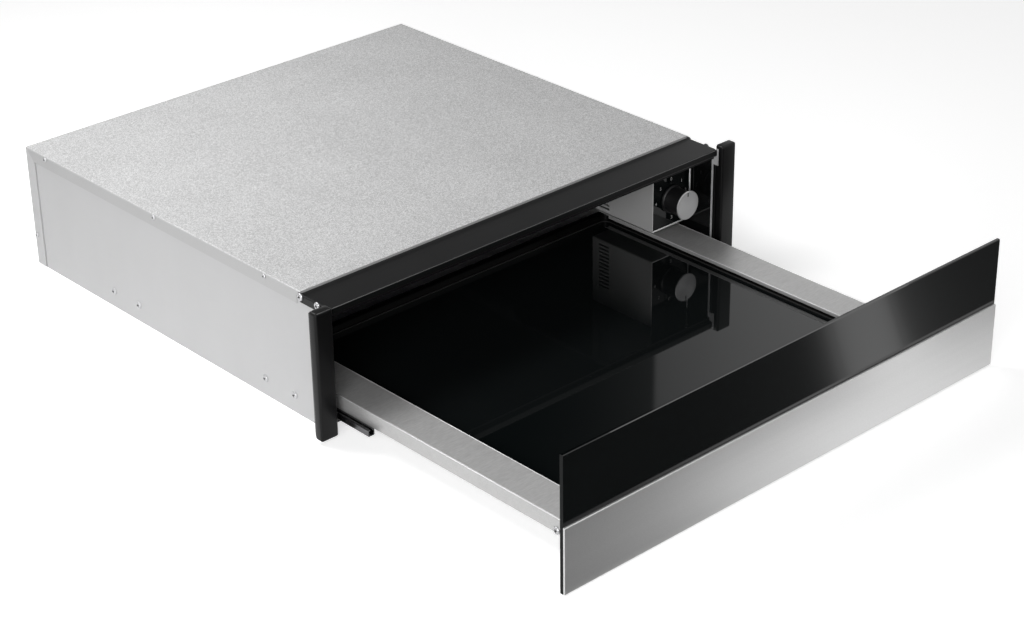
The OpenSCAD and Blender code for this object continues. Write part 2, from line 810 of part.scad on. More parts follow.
module knob_body() {
    front = knob_y - knob_l;
    r = knob_base_d / 2;
    color([0.05, 0.05, 0.05]) placed() translate([knob_x, knob_y, knob_z]) rotate([90, 0, 0])
        rotate_extrude($fn = 64)
            polygon([[spindle_d / 2 + seat_gap, 0], [r, 0], [r, knob_cap_t],
                     [r - sheet_t, knob_cap_t + sheet_t], [r - 1.5 * sheet_t, knob_l],
                     [0, knob_l], [0, knob_l - spindle_short + seat_gap],
                     [spindle_d / 2 + seat_gap, knob_l - spindle_short + seat_gap]]);
}

module knob_cap() {
    r = knob_cap_d / 2;
    color("silver") placed() translate([knob_x, knob_y - knob_l, knob_z]) rotate([90, 0, 0])
        rotate_extrude($fn = 64)
            polygon([[0, 0], [r - knob_cap_t / 3, 0], [r, knob_cap_t / 3],
                     [r, knob_cap_t * 0.75], [r - knob_cap_t / 4, knob_cap_t], [0, knob_cap_t]]);
}

module fan_frame() {
    back = rear_wall_back + fan_d;
    bore = fan_size - 2 * fan_wall;
    color([0.12, 0.12, 0.12]) placed() translate([fan_x, back, fan_z]) rotate([90, 0, 0]) {
        linear_extrude(height = fan_d) difference() {
            round_rect(fan_size, fan_size, fan_corner);
            circle(d = bore);
            for (sx = [-1, 1], sy = [-1, 1])
                translate([sx * (fan_size / 2 - fan_corner), sy * (fan_size / 2 - fan_corner)])
                    circle(d = screw_shank_d + 2 * shank_gap, $fn = 16);
        }
        linear_extrude(height = strut_t) difference() {
            for (k = [0 : 3]) rotate(k * 90 + 20)
                translate([fan_hub_d / 2 - seat_gap, -strut_w / 2])
                    square([bore / 2 - fan_hub_d / 2 + over / 2, strut_w]);
            circle(d = fan_hub_d);
        }
    }
}

module fan_motor() {
    back = rear_wall_back + fan_d;
    color("dimgray") placed() union() {
        rod_y(fan_x, fan_z, back - strut_t, back, fan_hub_d);
        rod_y(fan_x, fan_z, back - rotor_l + fan_front_gap, back, fan_hub_d - 4 * fan_wall);
    }
}

module fan_rotor() {
    front = rear_wall_back + fan_front_gap;
    back = rear_wall_back + fan_d - strut_t - motor_gap;
    reach = fan_size / 2 - fan_wall - fan_gap;
    hub = fan_hub_d / 2;
    color([0.2, 0.2, 0.2]) placed() translate([fan_x, back, fan_z]) rotate([90, 0, 0]) union() {
        // Hub cup, open to the rear round the motor
        rotate_extrude() polygon([[0, back - front], [hub, back - front], [hub, 0],
                                  [hub - fan_wall, 0],
                                  [hub - fan_wall, back - front - fan_wall],
                                  [0, back - front - fan_wall]]);
        // Blades, set at their pitch on the hub
        intersection() {
            rotate_extrude() translate([hub - fan_wall / 2, fan_wall / 2])
                square([reach - hub + fan_wall / 2, back - front - fan_wall]);
            union() for (k = [0 : blade_count - 1]) rotate([0, 0, k * 360 / blade_count])
                translate([reach / 2, 0, (back - front) / 2]) rotate([90 - blade_pitch, 0, 0])
                    cube([reach + over, blade_skin, 2 * fan_d], center = true);
        }
    }
}

// The heating element: straight passes joined by half-circle bends, in a plane behind the wall
module heating_element() {
    bend = heater_pitch / 2;
    color("dimgray") placed() union() {
        for (i = [0 : heater_passes - 1])
            rod_x(heater_x + bend, heater_x + bend + heater_l, heater_y, heater_z + i * heater_pitch,
                  heater_d);
        for (i = [0 : heater_passes - 2])
            translate([heater_x + bend + (i % 2 == 0 ? heater_l : 0), heater_y,
                       heater_z + (i + 0.5) * heater_pitch])
                rotate([90, i % 2 == 0 ? 0 : 180, 0]) rotate([0, 0, -90])
                    rotate_extrude(angle = 180, $fn = 32) translate([bend, 0]) circle(d = heater_d, $fn = 24);
        for (i = [0, heater_passes - 1])
            rod_x(heater_x + bend - heater_pin_l, heater_x + bend, heater_y,
                  heater_z + i * heater_pitch, heater_pin_d);
    }
}

// Two uprights that hold the element off the rear wall
module heater_clips() {
    tall = (heater_passes - 1) * heater_pitch + 2 * heater_d;
    color("silver") placed() for (share = [0.25, 0.75])
        translate([heater_x + heater_pitch / 2 + heater_l * share - clip_w / 2, 0,
                   heater_z - heater_d]) difference() {
            union() {
                block([0, rear_wall_back, 0], [sheet_t, heater_y + heater_d, tall]);
                block([0, rear_wall_back, 0], [clip_w, rear_wall_back + sheet_t, heater_d / 2]);
                block([0, rear_wall_back, tall - heater_d / 2],
                      [clip_w, rear_wall_back + sheet_t, tall]);
            }
            for (i = [0 : heater_passes - 1])
                rod_x(-over, sheet_t + over, heater_y, heater_d + i * heater_pitch,
                      heater_d + 2 * seat_gap);
        }
}

module thermal_cutout() {
    color([0.15, 0.13, 0.12]) placed() union() {
        rod_y(cutout_x, fan_z, rear_wall_back, rear_wall_back + cutout_t / 4, cutout_d * 1.3);
        rod_y(cutout_x, fan_z, rear_wall_back, rear_wall_back + cutout_t, cutout_d);
        for (s = [-1, 1])
            block([cutout_x + s * cutout_d / 4 - sheet_t / 2, rear_wall_back + cutout_t,
                   fan_z - heater_pin_d],
                  [cutout_x + s * cutout_d / 4 + sheet_t / 2, rear_wall_back + 2 * cutout_t,
                   fan_z + heater_pin_d]);
    }
}

module terminal_block() {
    color("ivory") placed() difference() {
        union() {
            block([gland_x - terminal_w / 2, back_in - terminal_d, terminal_z - terminal_h],
                  [gland_x + terminal_w / 2, back_in, terminal_z]);
            for (s = [-1, 1])
                block([gland_x + s * terminal_w / 2 - terminal_screw_d, back_in - sheet_t * 3,
                       terminal_z - terminal_h],
                      [gland_x + s * terminal_w / 2 + terminal_screw_d, back_in, terminal_z]);
        }
        // Wire entries from above
        for (s = [-1, 0, 1])
            translate([gland_x + s * terminal_w / 3, back_in - terminal_d / 2, terminal_z - terminal_h / 2])
                cylinder(h = terminal_h, d = terminal_screw_d, $fn = 16);
    }
}

module cable_gland() {
    color([0.1, 0.1, 0.1]) placed() translate([gland_x, cabinet_d, gland_z]) rotate([-90, 0, 0])
        difference() {
            union() {
                cylinder(h = gland_flange_t, d = gland_flange_w);
                cylinder(h = gland_l, d1 = gland_d * 1.15, d2 = gland_d);
                translate([0, 0, -sheet_t]) cylinder(h = sheet_t + gland_flange_t, d = gland_d);
                translate([0, 0, -sheet_t - gland_nut_t])
                    cylinder(h = gland_nut_t, d = gland_flange_w, $fn = 6);
            }
            translate([0, 0, -sheet_t - gland_nut_t - over])
                cylinder(h = gland_l + gland_nut_t + sheet_t + 2 * over, d = gland_bore_d);
        }
}

// Section of a runner's channel: open upwards, from the middle of its underside
module channel_section() {
    w = channel_w / 2;
    slot = channel_slot / 2;
    polygon(bent([[-slot, channel_h], [-w, channel_h], [-w, 0], [w, 0], [w, channel_h],
                  [slot, channel_h]], channel_t, channel_t / 3));
}

// Section of the blade and foot that run in a channel, from the channel's underside up to a top
module blade_section(top, gap) {
    union() {
        translate([-blade_t / 2 - gap, foot_rise - gap]) square([blade_t + 2 * gap, top - foot_rise + gap]);
        translate([-foot_w / 2 - gap, foot_rise - gap]) square([foot_w + 2 * gap, foot_t + 2 * gap]);
    }
}

// Section of a glide that fills a channel round the blade's foot
module glide_section(outer_gap, blade_gap) {
    w = channel_w / 2 - channel_t - outer_gap;
    low = channel_t + outer_gap;
    c = channel_t / 3;
    difference() {
        polygon([[-w + c, low], [w - c, low], [w, low + c], [w, channel_h - low - c],
                 [w - c, channel_h - low], [c - w, channel_h - low], [-w, channel_h - low - c],
                 [-w, low + c]]);
        blade_section(channel_h, blade_gap);
    }
}

// Turns a channel-wise section over and hangs it under the drawer's flange
module hung() {
    translate([inner_mid, flange_under]) mirror([0, 1, 0]) children();
}

module stood() {
    translate([channel_mid, channel_z]) children();
}

// The fixed rail: web on the side panel, top flange, and the blade hanging in the channel
module fixed_rail() {
    difference() {
        along_y(fixed_rail_y, fixed_rail_y + fixed_rail_l) union() {
            polygon(bent([[side_in, channel_z - rail_bottom_gap], [side_in, fixed_rail_top],
                          [channel_mid - blade_t / 2, fixed_rail_top]], rail_t, bend_r));
            stood() blade_section(fixed_rail_top - channel_z - rail_t / 2, 0);
        }
        side_holes(runner_screw_ys, runner_screw_z, 5 * sheet_t);
    }
}

module left_fixed_rail() {
    color("lightsteelblue") placed() mirrored() fixed_rail();
}

module right_fixed_rail() {
    color("lightsteelblue") placed() fixed_rail();
}

// The middle rail: channel under the fixed rail, bridge below the skirt, blade up into the drawer
module middle_rail() {
    inner_y = middle_rail_y + middle_out / 2;
    rib_top = flange_under - foot_rise;
    union() {
        along_y(middle_rail_y, middle_rail_y + middle_rail_l) stood() channel_section();
        along_y(inner_y, middle_rail_y + middle_rail_l) union() {
            translate([inner_mid - blade_t / 2, bridge_z])
                square([channel_mid - channel_w / 2 + channel_t - inner_mid + blade_t / 2, channel_t]);
            hung() blade_section(flange_under - bridge_z, 0);
        }
    }
}

module left_middle_rail() {
    color("lightsteelblue") placed() mirrored() middle_rail();
}

module right_middle_rail() {
    color("lightsteelblue") placed() middle_rail();
}

module drawer_rail() {
    along_y(drawer_rail_y, drawer_rail_y + drawer_rail_l) hung() channel_section();
}

module left_drawer_rail() {
    color("lightsteelblue") on_drawer() mirrored() drawer_rail();
}

module right_drawer_rail() {
    color("lightsteelblue") on_drawer() drawer_rail();
}

// Glides clipped on the fixed rails' blades, running in the middle rails' channels
module cabinet_glides() {
    color("white") placed() for (m = [0, 1]) mirror([m, 0, 0])
        along_y(cabinet_glide_y, cabinet_glide_y + glide_l) stood() glide_section(slide_gap, seat_gap);
}

// Glides in a middle rail: one at the rear round the fixed blade, one at the front on its own blade
module middle_glides() {
    back = middle_rail_y + middle_rail_l;
    front = middle_rail_y + middle_out / 2;
    along_y(back - glide_l, back) stood() glide_section(seat_gap, slide_gap);
    along_y(front, front + glide_l) hung() glide_section(slide_gap, seat_gap);
}

module left_middle_glides() {
    color("white") placed() mirrored() middle_glides();
}

module right_middle_glides() {
    color("white") placed() middle_glides();
}

// Glides at the rear of the drawer rails, round the middle rails' blades
module drawer_glides() {
    back = drawer_rail_y + drawer_rail_l;
    color("white") on_drawer() for (m = [0, 1]) mirror([m, 0, 0])
        along_y(back - glide_l, back) hung() glide_section(seat_gap, slide_gap);
}

// A tray-shaped step: a round-cornered block between two heights
module tray_step(half, from, to, lo, hi) {
    translate([0, (from + to) / 2, lo]) linear_extrude(height = hi - lo)
        round_rect(2 * half, to - from, tray_corner);
}

module tray_pan() {
    low_half = tray_half - ledge_w;
    low_y = tray_y + ledge_w;
    low_back = tray_back - ledge_w;
    color([0.05, 0.05, 0.05]) on_drawer() difference() {
        union() {
            tray_step(low_half, low_y, low_back, tray_z, ledge_z);
            tray_step(tray_half, tray_y, tray_back, ledge_z - sheet_t, flange_under);
        }
        tray_step(low_half - sheet_t, low_y + sheet_t, low_back - sheet_t, tray_z + sheet_t, ledge_z + over);
        tray_step(tray_in, tray_y + sheet_t, tray_back - sheet_t, ledge_z, flange_under + over);
    }
}

module glass_floor() {
    inset = sheet_t + seal_w + 2 * seat_gap;
    color([0.02, 0.02, 0.02]) on_drawer()
        tray_step(tray_half - inset, tray_y + inset, tray_back - inset, ledge_z,
                  ledge_z + floor_glass_t);
}

module glass_seal() {
    edge = sheet_t + seat_gap;
    inner = edge + seal_w;
    color([0.09, 0.09, 0.09]) on_drawer() difference() {
        tray_step(tray_half - edge, tray_y + edge, tray_back - edge, ledge_z,
                  ledge_z + floor_glass_t + sheet_t / 2);
        tray_step(tray_half - inner, tray_y + inner, tray_back - inner, ledge_z - over,
                  ledge_z + floor_glass_t + over);
    }
}

// The right side channel of the drawer: skirt, wide top face and a short inner lip
module side_channel() {
    difference() {
        union() {
            along_y(backing_back, drawer_back)
                polygon(bent([[drawer_half, skirt_z], [drawer_half, flange_z],
                              [flange_in + bend_r + sheet_t, flange_z]], sheet_t, bend_r));
            along_y(tray_y + tray_corner, tray_back - tray_corner)
                polygon(bent([[drawer_half, skirt_z], [drawer_half, flange_z], [flange_in, flange_z],
                              [flange_in, flange_z - flange_lip]], sheet_t, bend_r));
        }
        rod_x(drawer_half - 2 * sheet_t, drawer_half + over, skirt_screw_y,
              skirt_screw_z, screw_shank_d + 2 * shank_gap);
    }
}

module drawer_left_channel() {
    color("gainsboro") on_drawer() mirrored() side_channel();
}

module drawer_right_channel() {
    color("gainsboro") on_drawer() side_channel();
}

module drawer_front_rail() {
    color([0.1, 0.1, 0.1]) on_drawer() along_x(-front_rail_half, front_rail_half)
        polygon(bent([[tray_y, flange_under], [backing_back, flange_under],
                      [backing_back, front_rail_z], [tray_y, front_rail_z]], sheet_t, bend_r));
}

module drawer_rear_rail() {
    color([0.1, 0.1, 0.1]) on_drawer() along_x(-rear_rail_half, rear_rail_half)
        polygon(bent([[drawer_back - 2 * sheet_t, flange_under], [tray_back, flange_under],
                      [tray_back, tray_z], [drawer_back - 2 * sheet_t, tray_z]], sheet_t, bend_r));
}

module front_brackets() {
    skirt_in = drawer_half - sheet_t;
    color("silver") on_drawer() for (m = [0, 1]) mirror([m, 0, 0]) difference() {
        union() {
            block([skirt_in - sheet_t, backing_back, bracket_z],
                  [skirt_in, backing_back + bracket_l, flange_under - bend_r]);
            block([skirt_in - bracket_foot, backing_back, bracket_z],
                  [skirt_in, backing_back + sheet_t, flange_under - bend_r]);
        }
        rod_x(skirt_in - 2 * sheet_t, drawer_half + over, skirt_screw_y,
              skirt_screw_z, screw_shank_d + 2 * shank_gap);
    }
}

module front_backing() {
    color([0.1, 0.1, 0.1]) on_drawer()
        block([-panel_w / 2 + backing_inset, glass_back, panel_bottom + backing_inset],
              [panel_w / 2 - backing_inset, backing_back, panel_bottom + panel_h - backing_inset]);
}

// The panel's glass, with its long edges eased
module front_glass() {
    ease = panel_glass_t / 6;
    top = panel_bottom + panel_h;
    color([0.02, 0.02, 0.02]) on_drawer() along_x(-panel_w / 2, panel_w / 2)
        polygon([[glass_front + ease, panel_bottom], [glass_back, panel_bottom],
                 [glass_back, top - ease], [glass_back - ease, top], [glass_front + ease, top],
                 [glass_front, top - ease], [glass_front, panel_bottom + ease]]);
}

// The steel band: a plate with its top and bottom edges rounded over
module front_steel_band() {
    r = band_t * 0.6;
    front = glass_front - band_t;
    top = panel_bottom + band_h;
    color("silver") on_drawer() along_x(-panel_w / 2, panel_w / 2)
        polygon(concat(
            [[glass_front, panel_bottom], [glass_front, top]],
            [for (k = [0 : bend_steps])
                [front + r - r * sin(90 * k / bend_steps), top - r + r * cos(90 * k / bend_steps)]],
            [for (k = [bend_steps : -1 : 0])
                [front + r - r * sin(90 * k / bend_steps),
                 panel_bottom + r - r * cos(90 * k / bend_steps)]]));
}

module latch_housing() {
    back = rear_wall_back + latch_l;
    well = plunger_head_d + 2 * plunger_gap;
    color([0.85, 0.85, 0.83]) placed() translate([0, back, latch_z]) rotate([90, 0, 0])
        difference() {
            union() {
                cylinder(h = latch_l + sheet_t, d = latch_d);
                translate([0, 0, latch_l + sheet_t]) cylinder(h = latch_flange_t, d = latch_flange_d);
            }
            translate([0, 0, latch_flange_t]) cylinder(h = latch_l - 2 * latch_flange_t, d = well);
            translate([0, 0, latch_flange_t]) cylinder(h = latch_l + 2 * latch_flange_t,
                                                       d = plunger_d + 2 * plunger_gap);
        }
}

// The plunger: rod with a soft round tip and a collar that keeps it in the housing
module latch_plunger() {
    color("white") placed() translate([0, latch_tip_y, latch_z]) rotate([-90, 0, 0])
        rotate_extrude($fn = 32)
            polygon([[0, 0], [plunger_d / 2 - plunger_gap, 0], [plunger_d / 2, plunger_gap],
                     [plunger_d / 2, plunger_l - plunger_head_t],
                     [plunger_head_d / 2, plunger_l - plunger_head_t],
                     [plunger_head_d / 2, plunger_l], [0, plunger_l]]);
}

// One coil spring as a swept tube, behind the plunger's collar
module latch_spring() {
    start = latch_tip_y + plunger_l + plunger_gap;
    end = rear_wall_back + latch_l - latch_flange_t - plunger_gap;
    coil_r = (spring_d - spring_wire_d) / 2;
    wire = spring_wire_d / 2;
    count = spring_turns * spring_steps;
    rise = (end - start - spring_wire_d) / count;
    rings = [for (i = [0 : count]) let (a = 360 * i / spring_steps)
        [for (k = [0 : spring_sides - 1]) let (b = 360 * k / spring_sides, r = coil_r + wire * cos(b))
            [r * cos(a), start + wire + rise * i + wire * sin(b), latch_z + r * sin(a)]]];
    pts = [for (ring = rings) each ring];
    n = spring_sides;
    color("gray") placed() polyhedron(
        points = pts,
        faces = concat(
            [[for (k = [0 : n - 1]) k]],
            [for (i = [0 : count - 1], k = [0 : n - 1]) [i * n + k, (i + 1) * n + k, i * n + (k + 1) % n]],
            [for (i = [0 : count - 1], k = [0 : n - 1])
                [i * n + (k + 1) % n, (i + 1) * n + k, (i + 1) * n + (k + 1) % n]],
            [[for (k = [n - 1 : -1 : 0]) count * n + k]]));
}

// The catch: a folded plate on the rear rail that meets the plunger
module latch_catch() {
    seat_y = tray_back + sheet_t;
    face = drawer_back - sheet_t;
    color("silver") on_drawer() along_x(-catch_w / 2, catch_w / 2)
        polygon(bent([[seat_y, latch_z + latch_d * 0.8], [seat_y, latch_z + latch_d / 2],
                      [face, latch_z + latch_d / 2], [face, latch_z - latch_d / 2],
                      [seat_y, latch_z - latch_d / 2]], sheet_t, bend_r));
}

// Screws through both sides at the given places
module side_screws(ys, z, head_d, tip, seat) {
    for (m = [0, 1], y = ys) mirror([m, 0, 0]) translate([seat, y, z]) screw_x(head_d, tip);
}

module cover_screws() {
    color("silver") placed() side_screws(cover_screw_ys, cover_screw_z, screw_head_d, shank_l, half_w);
}

module frame_screws() {
    color("silver") placed()
        side_screws(frame_screw_ys, frame_screw_z, frame_screw_head_d, shank_l, half_w);
}

module runner_screws() {
    color("silver") placed()
        side_screws(runner_screw_ys, runner_screw_z, runner_screw_head_d, sheet_t + rail_t, side_out);
}

module post_screws() {
    color("silver") placed() for (m = [0, 1], share = post_screw_shares) mirror([m, 0, 0])
        translate([post_screw_x, post_back, cabinet_h * share])
            rotate([0, 0, 90]) screw_x(screw_head_d, shank_l + sheet_t);
}

module back_screws() {
    color("silver") placed() {
        side_screws([back_screw_y], back_screw_z, screw_head_d, 3 * sheet_t, half_w);
        for (x = [-1, 0, 1])
            translate([x * (half_w - 4 * back_flange), cabinet_d, bottom_rail_h / 2])
                rotate([0, 0, 90]) screw_x(screw_head_d, 3 * sheet_t);
    }
}

module skirt_screws() {
    color("silver") on_drawer()
        side_screws([skirt_screw_y], skirt_screw_z, frame_screw_head_d,
                    3 * sheet_t, drawer_half);
}

base_pan();
left_side_panel();
right_side_panel();
back_panel();
top_cover();
top_rail();
bottom_rail();
left_post();
right_post();
cavity_ceiling();
cavity_left_wall();
cavity_right_wall();
cavity_rear_wall();
ceiling_insulation();
control_box();
control_face();
thermostat_switch();
switch_spindle();
knob_body();
knob_cap();
fan_frame();
fan_motor();
fan_rotor();
heating_element();
heater_clips();
thermal_cutout();
terminal_block();
cable_gland();
left_fixed_rail();
right_fixed_rail();
left_middle_rail();
right_middle_rail();
left_drawer_rail();
right_drawer_rail();
cabinet_glides();
left_middle_glides();
right_middle_glides();
drawer_glides();
tray_pan();
glass_floor();
glass_seal();
drawer_left_channel();
drawer_right_channel();
drawer_front_rail();
drawer_rear_rail();
front_brackets();
front_backing();
front_glass();
front_steel_band();
latch_housing();
latch_plunger();
latch_spring();
latch_catch();
cover_screws();
frame_screws();
post_screws();
runner_screws();
back_screws();
skirt_screws();
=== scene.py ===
"""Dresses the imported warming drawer: finishes, turned and pressed details, studio and camera."""
import logging
import math
from dataclasses import dataclass, field
from enum import Enum
from typing import Callable, Iterable, Sequence

import bmesh
import bpy
from mathutils import Matrix, Vector


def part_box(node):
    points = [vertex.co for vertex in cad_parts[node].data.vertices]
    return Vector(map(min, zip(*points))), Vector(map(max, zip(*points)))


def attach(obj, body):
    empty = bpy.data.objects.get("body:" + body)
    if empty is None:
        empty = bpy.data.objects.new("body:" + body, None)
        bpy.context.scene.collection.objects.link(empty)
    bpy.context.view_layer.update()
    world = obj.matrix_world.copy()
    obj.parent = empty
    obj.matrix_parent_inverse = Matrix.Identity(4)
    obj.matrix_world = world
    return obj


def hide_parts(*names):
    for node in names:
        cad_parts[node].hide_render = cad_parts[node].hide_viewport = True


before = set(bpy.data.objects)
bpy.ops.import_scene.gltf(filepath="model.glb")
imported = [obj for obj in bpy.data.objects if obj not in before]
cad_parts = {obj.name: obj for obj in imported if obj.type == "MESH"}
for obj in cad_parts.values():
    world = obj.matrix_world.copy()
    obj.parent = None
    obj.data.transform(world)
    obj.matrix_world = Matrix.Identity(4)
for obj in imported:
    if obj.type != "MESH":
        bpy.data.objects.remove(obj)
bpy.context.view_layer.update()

LOG = logging.getLogger("warming_drawer")

Colour = tuple[float, float, float]
Point = tuple[float, float, float]
Grid = bmesh.types.BMesh
Material = bpy.types.Material
Piece = bpy.types.Object
Socket = bpy.types.NodeSocket

MM = 0.001
HEAD_HEIGHT = 1.8 * MM
# Points nearer than this are one point
WELD = 1e-6
CARD_LIFT = 0.001
# Where most of a noise texture's values lie
NOISE_SPAN = (0.3, 0.7)
# From a face that is turned away to one that counts as facing
FACE_SPAN = (0.5, 0.9)
# Turns what stands on Z = 0 to face the front
UPRIGHT = Matrix.Rotation(math.pi / 2, 4, "X")


class Axis(Enum):
    """Direction in which a sheet was ground, or along which a face's turn is read."""

    X = 0
    Y = 1
    Z = 2


# Shader building


class ShaderTree:
    """One material's node tree, with short calls for the nodes the finishes share."""

    def __init__(self, name: str) -> None:
        """Makes an empty material with a Principled shader.

        Args:
            name: the material's name.
        """
        self.material = bpy.data.materials.new(name)
        self.material.use_nodes = True
        self.nodes = self.material.node_tree.nodes
        self.links = self.material.node_tree.links
        self.shader = self.nodes["Principled BSDF"]
        coordinates = self.nodes.new("ShaderNodeTexCoord")
        self.place, self.normal = coordinates.outputs["Object"], coordinates.outputs["Normal"]

    def set(self, **values: object) -> None:
        """Sets the Principled shader's own sockets.

        Args:
            values: socket names, with underscores for spaces, and their values.
        """
        for key, value in values.items():
            self.shader.inputs[key.replace("_", " ")].default_value = value

    def stretched(self, scale: Point) -> Socket:
        """Object coordinates multiplied by a scale.

        Args:
            scale: factors along X, Y and Z.

        Returns:
            The scaled coordinates.
        """
        node = self.nodes.new("ShaderNodeMapping")
        node.inputs["Scale"].default_value = scale
        self.links.new(self.place, node.inputs["Vector"])
        return node.outputs["Vector"]

    def noise(self, scale: Point, detail: float = 2.0, roughness: float = 0.5) -> Socket:
        """Noise at a scale given per axis.

        Args:
            scale: repeats per metre along X, Y and Z.
            detail: octaves.
            roughness: how strongly the finer octaves show.

        Returns:
            The noise value.
        """
        node = self.nodes.new("ShaderNodeTexNoise")
        node.inputs["Scale"].default_value = 1.0
        node.inputs["Detail"].default_value = detail
        node.inputs["Roughness"].default_value = roughness
        self.links.new(self.stretched(scale), node.inputs["Vector"])
        return node.outputs["Fac"]

    def cells(self, size: float) -> Socket:
        """Crystal cells, each of one value.

        Args:
            size: cell size in metres.

        Returns:
            A value per cell.
        """
        node = self.nodes.new("ShaderNodeTexVoronoi")
        node.inputs["Scale"].default_value = 1.0 / size
        self.links.new(self.place, node.inputs["Vector"])
        split = self.nodes.new("ShaderNodeSeparateColor")
        self.links.new(node.outputs["Color"], split.inputs["Color"])
        return split.outputs["Red"]

    def spread(self, value: Socket, low: float, high: float,
               start: float = 0.0, end: float = 1.0) -> Socket:
        """Maps a value to a range.

        Args:
            value: the value to map.
            low: result at start.
            high: result at end.
            start: value that gives low.
            end: value that gives high.

        Returns:
            The mapped value.
        """
        node = self.nodes.new("ShaderNodeMapRange")
        node.inputs["From Min"].default_value = start
        node.inputs["From Max"].default_value = end
        node.inputs["To Min"].default_value = low
        node.inputs["To Max"].default_value = high
        self.links.new(value, node.inputs["Value"])
        return node.outputs["Result"]

    def swing(self, noise: Socket) -> Socket:
        """Noise stretched to run from -0.5 to 0.5."""
        return self.spread(noise, -0.5, 0.5, *NOISE_SPAN)

    def blend(self, factor: Socket, first: Colour, second: Colour) -> Socket:
        """A colour between two, by a factor.

        Args:
            factor: 0 gives the first colour, 1 the second.
            first: the first colour.
            second: the second colour.

        Returns:
            The blended colour.
        """
        node = self.nodes.new("ShaderNodeMix")
        node.data_type = "RGBA"
        node.inputs["A"].default_value = (*first, 1.0)
        node.inputs["B"].default_value = (*second, 1.0)
        self.links.new(factor, node.inputs["Factor"])
        return node.outputs["Result"]

    def sum_of(self, first: Socket, second: Socket,
               share: float) -> Socket:
        """Adds a share of a second value to a first one.

        Args:
            first: the main value.
            second: the value added.
            share: how much of the second is added.

        Returns:
            The sum.
        """
        node = self.nodes.new("ShaderNodeMath")
        node.operation = "MULTIPLY_ADD"
        node.inputs[1].default_value = share
        self.links.new(second, node.inputs[0])
        self.links.new(first, node.inputs[2])
        return node.outputs["Value"]

    def bump(self, height: Socket, depth: float, strength: float = 1.0) -> None:
        """Bumps the surface.

        Args:
            height: the height value, 0 to 1.
            depth: height of a full step, in metres.
            strength: share of the bump that shows.
        """
        node = self.nodes.new("ShaderNodeBump")
        node.inputs["Strength"].default_value = strength
        node.inputs["Distance"].default_value = depth
        self.links.new(height, node.inputs["Height"])
        self.links.new(node.outputs["Normal"], self.shader.inputs["Normal"])

    def facing(self, axis: Axis) -> Socket:
        """How squarely the surface faces along an axis, 0 to 1.

        Args:
            axis: the axis, either way.

        Returns:
            The share.
        """
        split, size = self.nodes.new("ShaderNodeSeparateXYZ"), self.nodes.new("ShaderNodeMath")
        self.links.new(self.normal, split.inputs[0])
        size.operation = "ABSOLUTE"
        self.links.new(split.outputs[axis.value], size.inputs[0])
        return size.outputs[0]

    def fade(self, factor: Socket, rest: float, value: Socket) -> Socket:
        """A value that fades to a rest value.

        Args:
            factor: 0 gives the rest value, 1 the full one.
            rest: the rest value.
            value: the full value.

        Returns:
            The faded value.
        """
        node = self.nodes.new("ShaderNodeMix")
        node.inputs["A"].default_value = rest
        self.links.new(value, node.inputs["B"])
        self.links.new(factor, node.inputs["Factor"])
        return node.outputs["Result"]

    def feed(self, socket: str, value: Socket) -> None:
        """Links a value to one of the Principled shader's sockets."""
        self.links.new(value, self.shader.inputs[socket])


def per_axis(axis: Axis, along: float, across: float) -> Point:
    """Texture repeats with one value along an axis and another across it.

    Args:
        axis: the direction of the grain.
        along: repeats per metre along it.
        across: repeats per metre across it.

    Returns:
        The repeats along X, Y and Z.
    """
    return tuple(along if i == axis.value else across for i in range(3))


def toned(colour: Colour, share: float) -> Colour:
    """A colour made darker or lighter.

    Args:
        colour: the colour.
        share: factor on each channel.

    Returns:
        The new colour.
    """
    return tuple(c * share for c in colour)


# Finishes


@dataclass(frozen=True)
class Finish:
    """A finish, which each kind lays in a material of its own."""

    name: str

    def material(self) -> Material:
        """Makes the material and lays the finish in it.

        Returns:
            The material.
        """
        tree = ShaderTree(self.name)
        self.lay(tree)
        return tree.material

    def lay(self, tree: ShaderTree) -> None:
        """Lays the finish.

        Args:
            tree: the material's tree.
        """
        raise NotImplementedError


@dataclass(frozen=True)
class SpangledSheet(Finish):
    """Galvanised sheet with fine mottled crystals on its flat face, and one plain, darker tone on its upright
    lips: painted shade.
    """

    dark: Colour = (0.4, 0.4, 0.402)
    light: Colour = (0.74, 0.74, 0.742)
    crystal: float = 0.0009
    fine: float = 1100.0
    fine_share: float = 0.6
    broad: float = 11.0
    broad_share: float = 0.14
    relief: float = 0.00006
    painted_lip_shade: float = 0.25

    def lay(self, tree: ShaderTree) -> None:
        """Lays the crystals and their relief, and one plain, darker tone on the faces that stand upright:
        painted shade.

        Args:
            tree: the material's tree.
        """
        crystals = tree.cells(self.crystal)
        fine = tree.noise((self.fine,) * 3, 2.0, 0.6)
        mottle = tree.sum_of(crystals, tree.swing(fine), self.fine_share)
        tone = tree.sum_of(mottle, tree.swing(tree.noise((self.broad,) * 3, 3.0)), self.broad_share)
        # upright faces take one darker tone in place of the mottle: painted shade on the lips
        flat = tree.spread(tree.facing(Axis.Z), 0.0, 1.0, *FACE_SPAN)
        tree.feed("Base Color", tree.blend(tree.fade(flat, self.painted_lip_shade, tone), self.dark, self.light))
        tree.feed("Roughness", tree.spread(crystals, 0.46, 0.62))
        tree.set(Metallic=0.15)
        tree.bump(mottle, self.relief, 0.5)


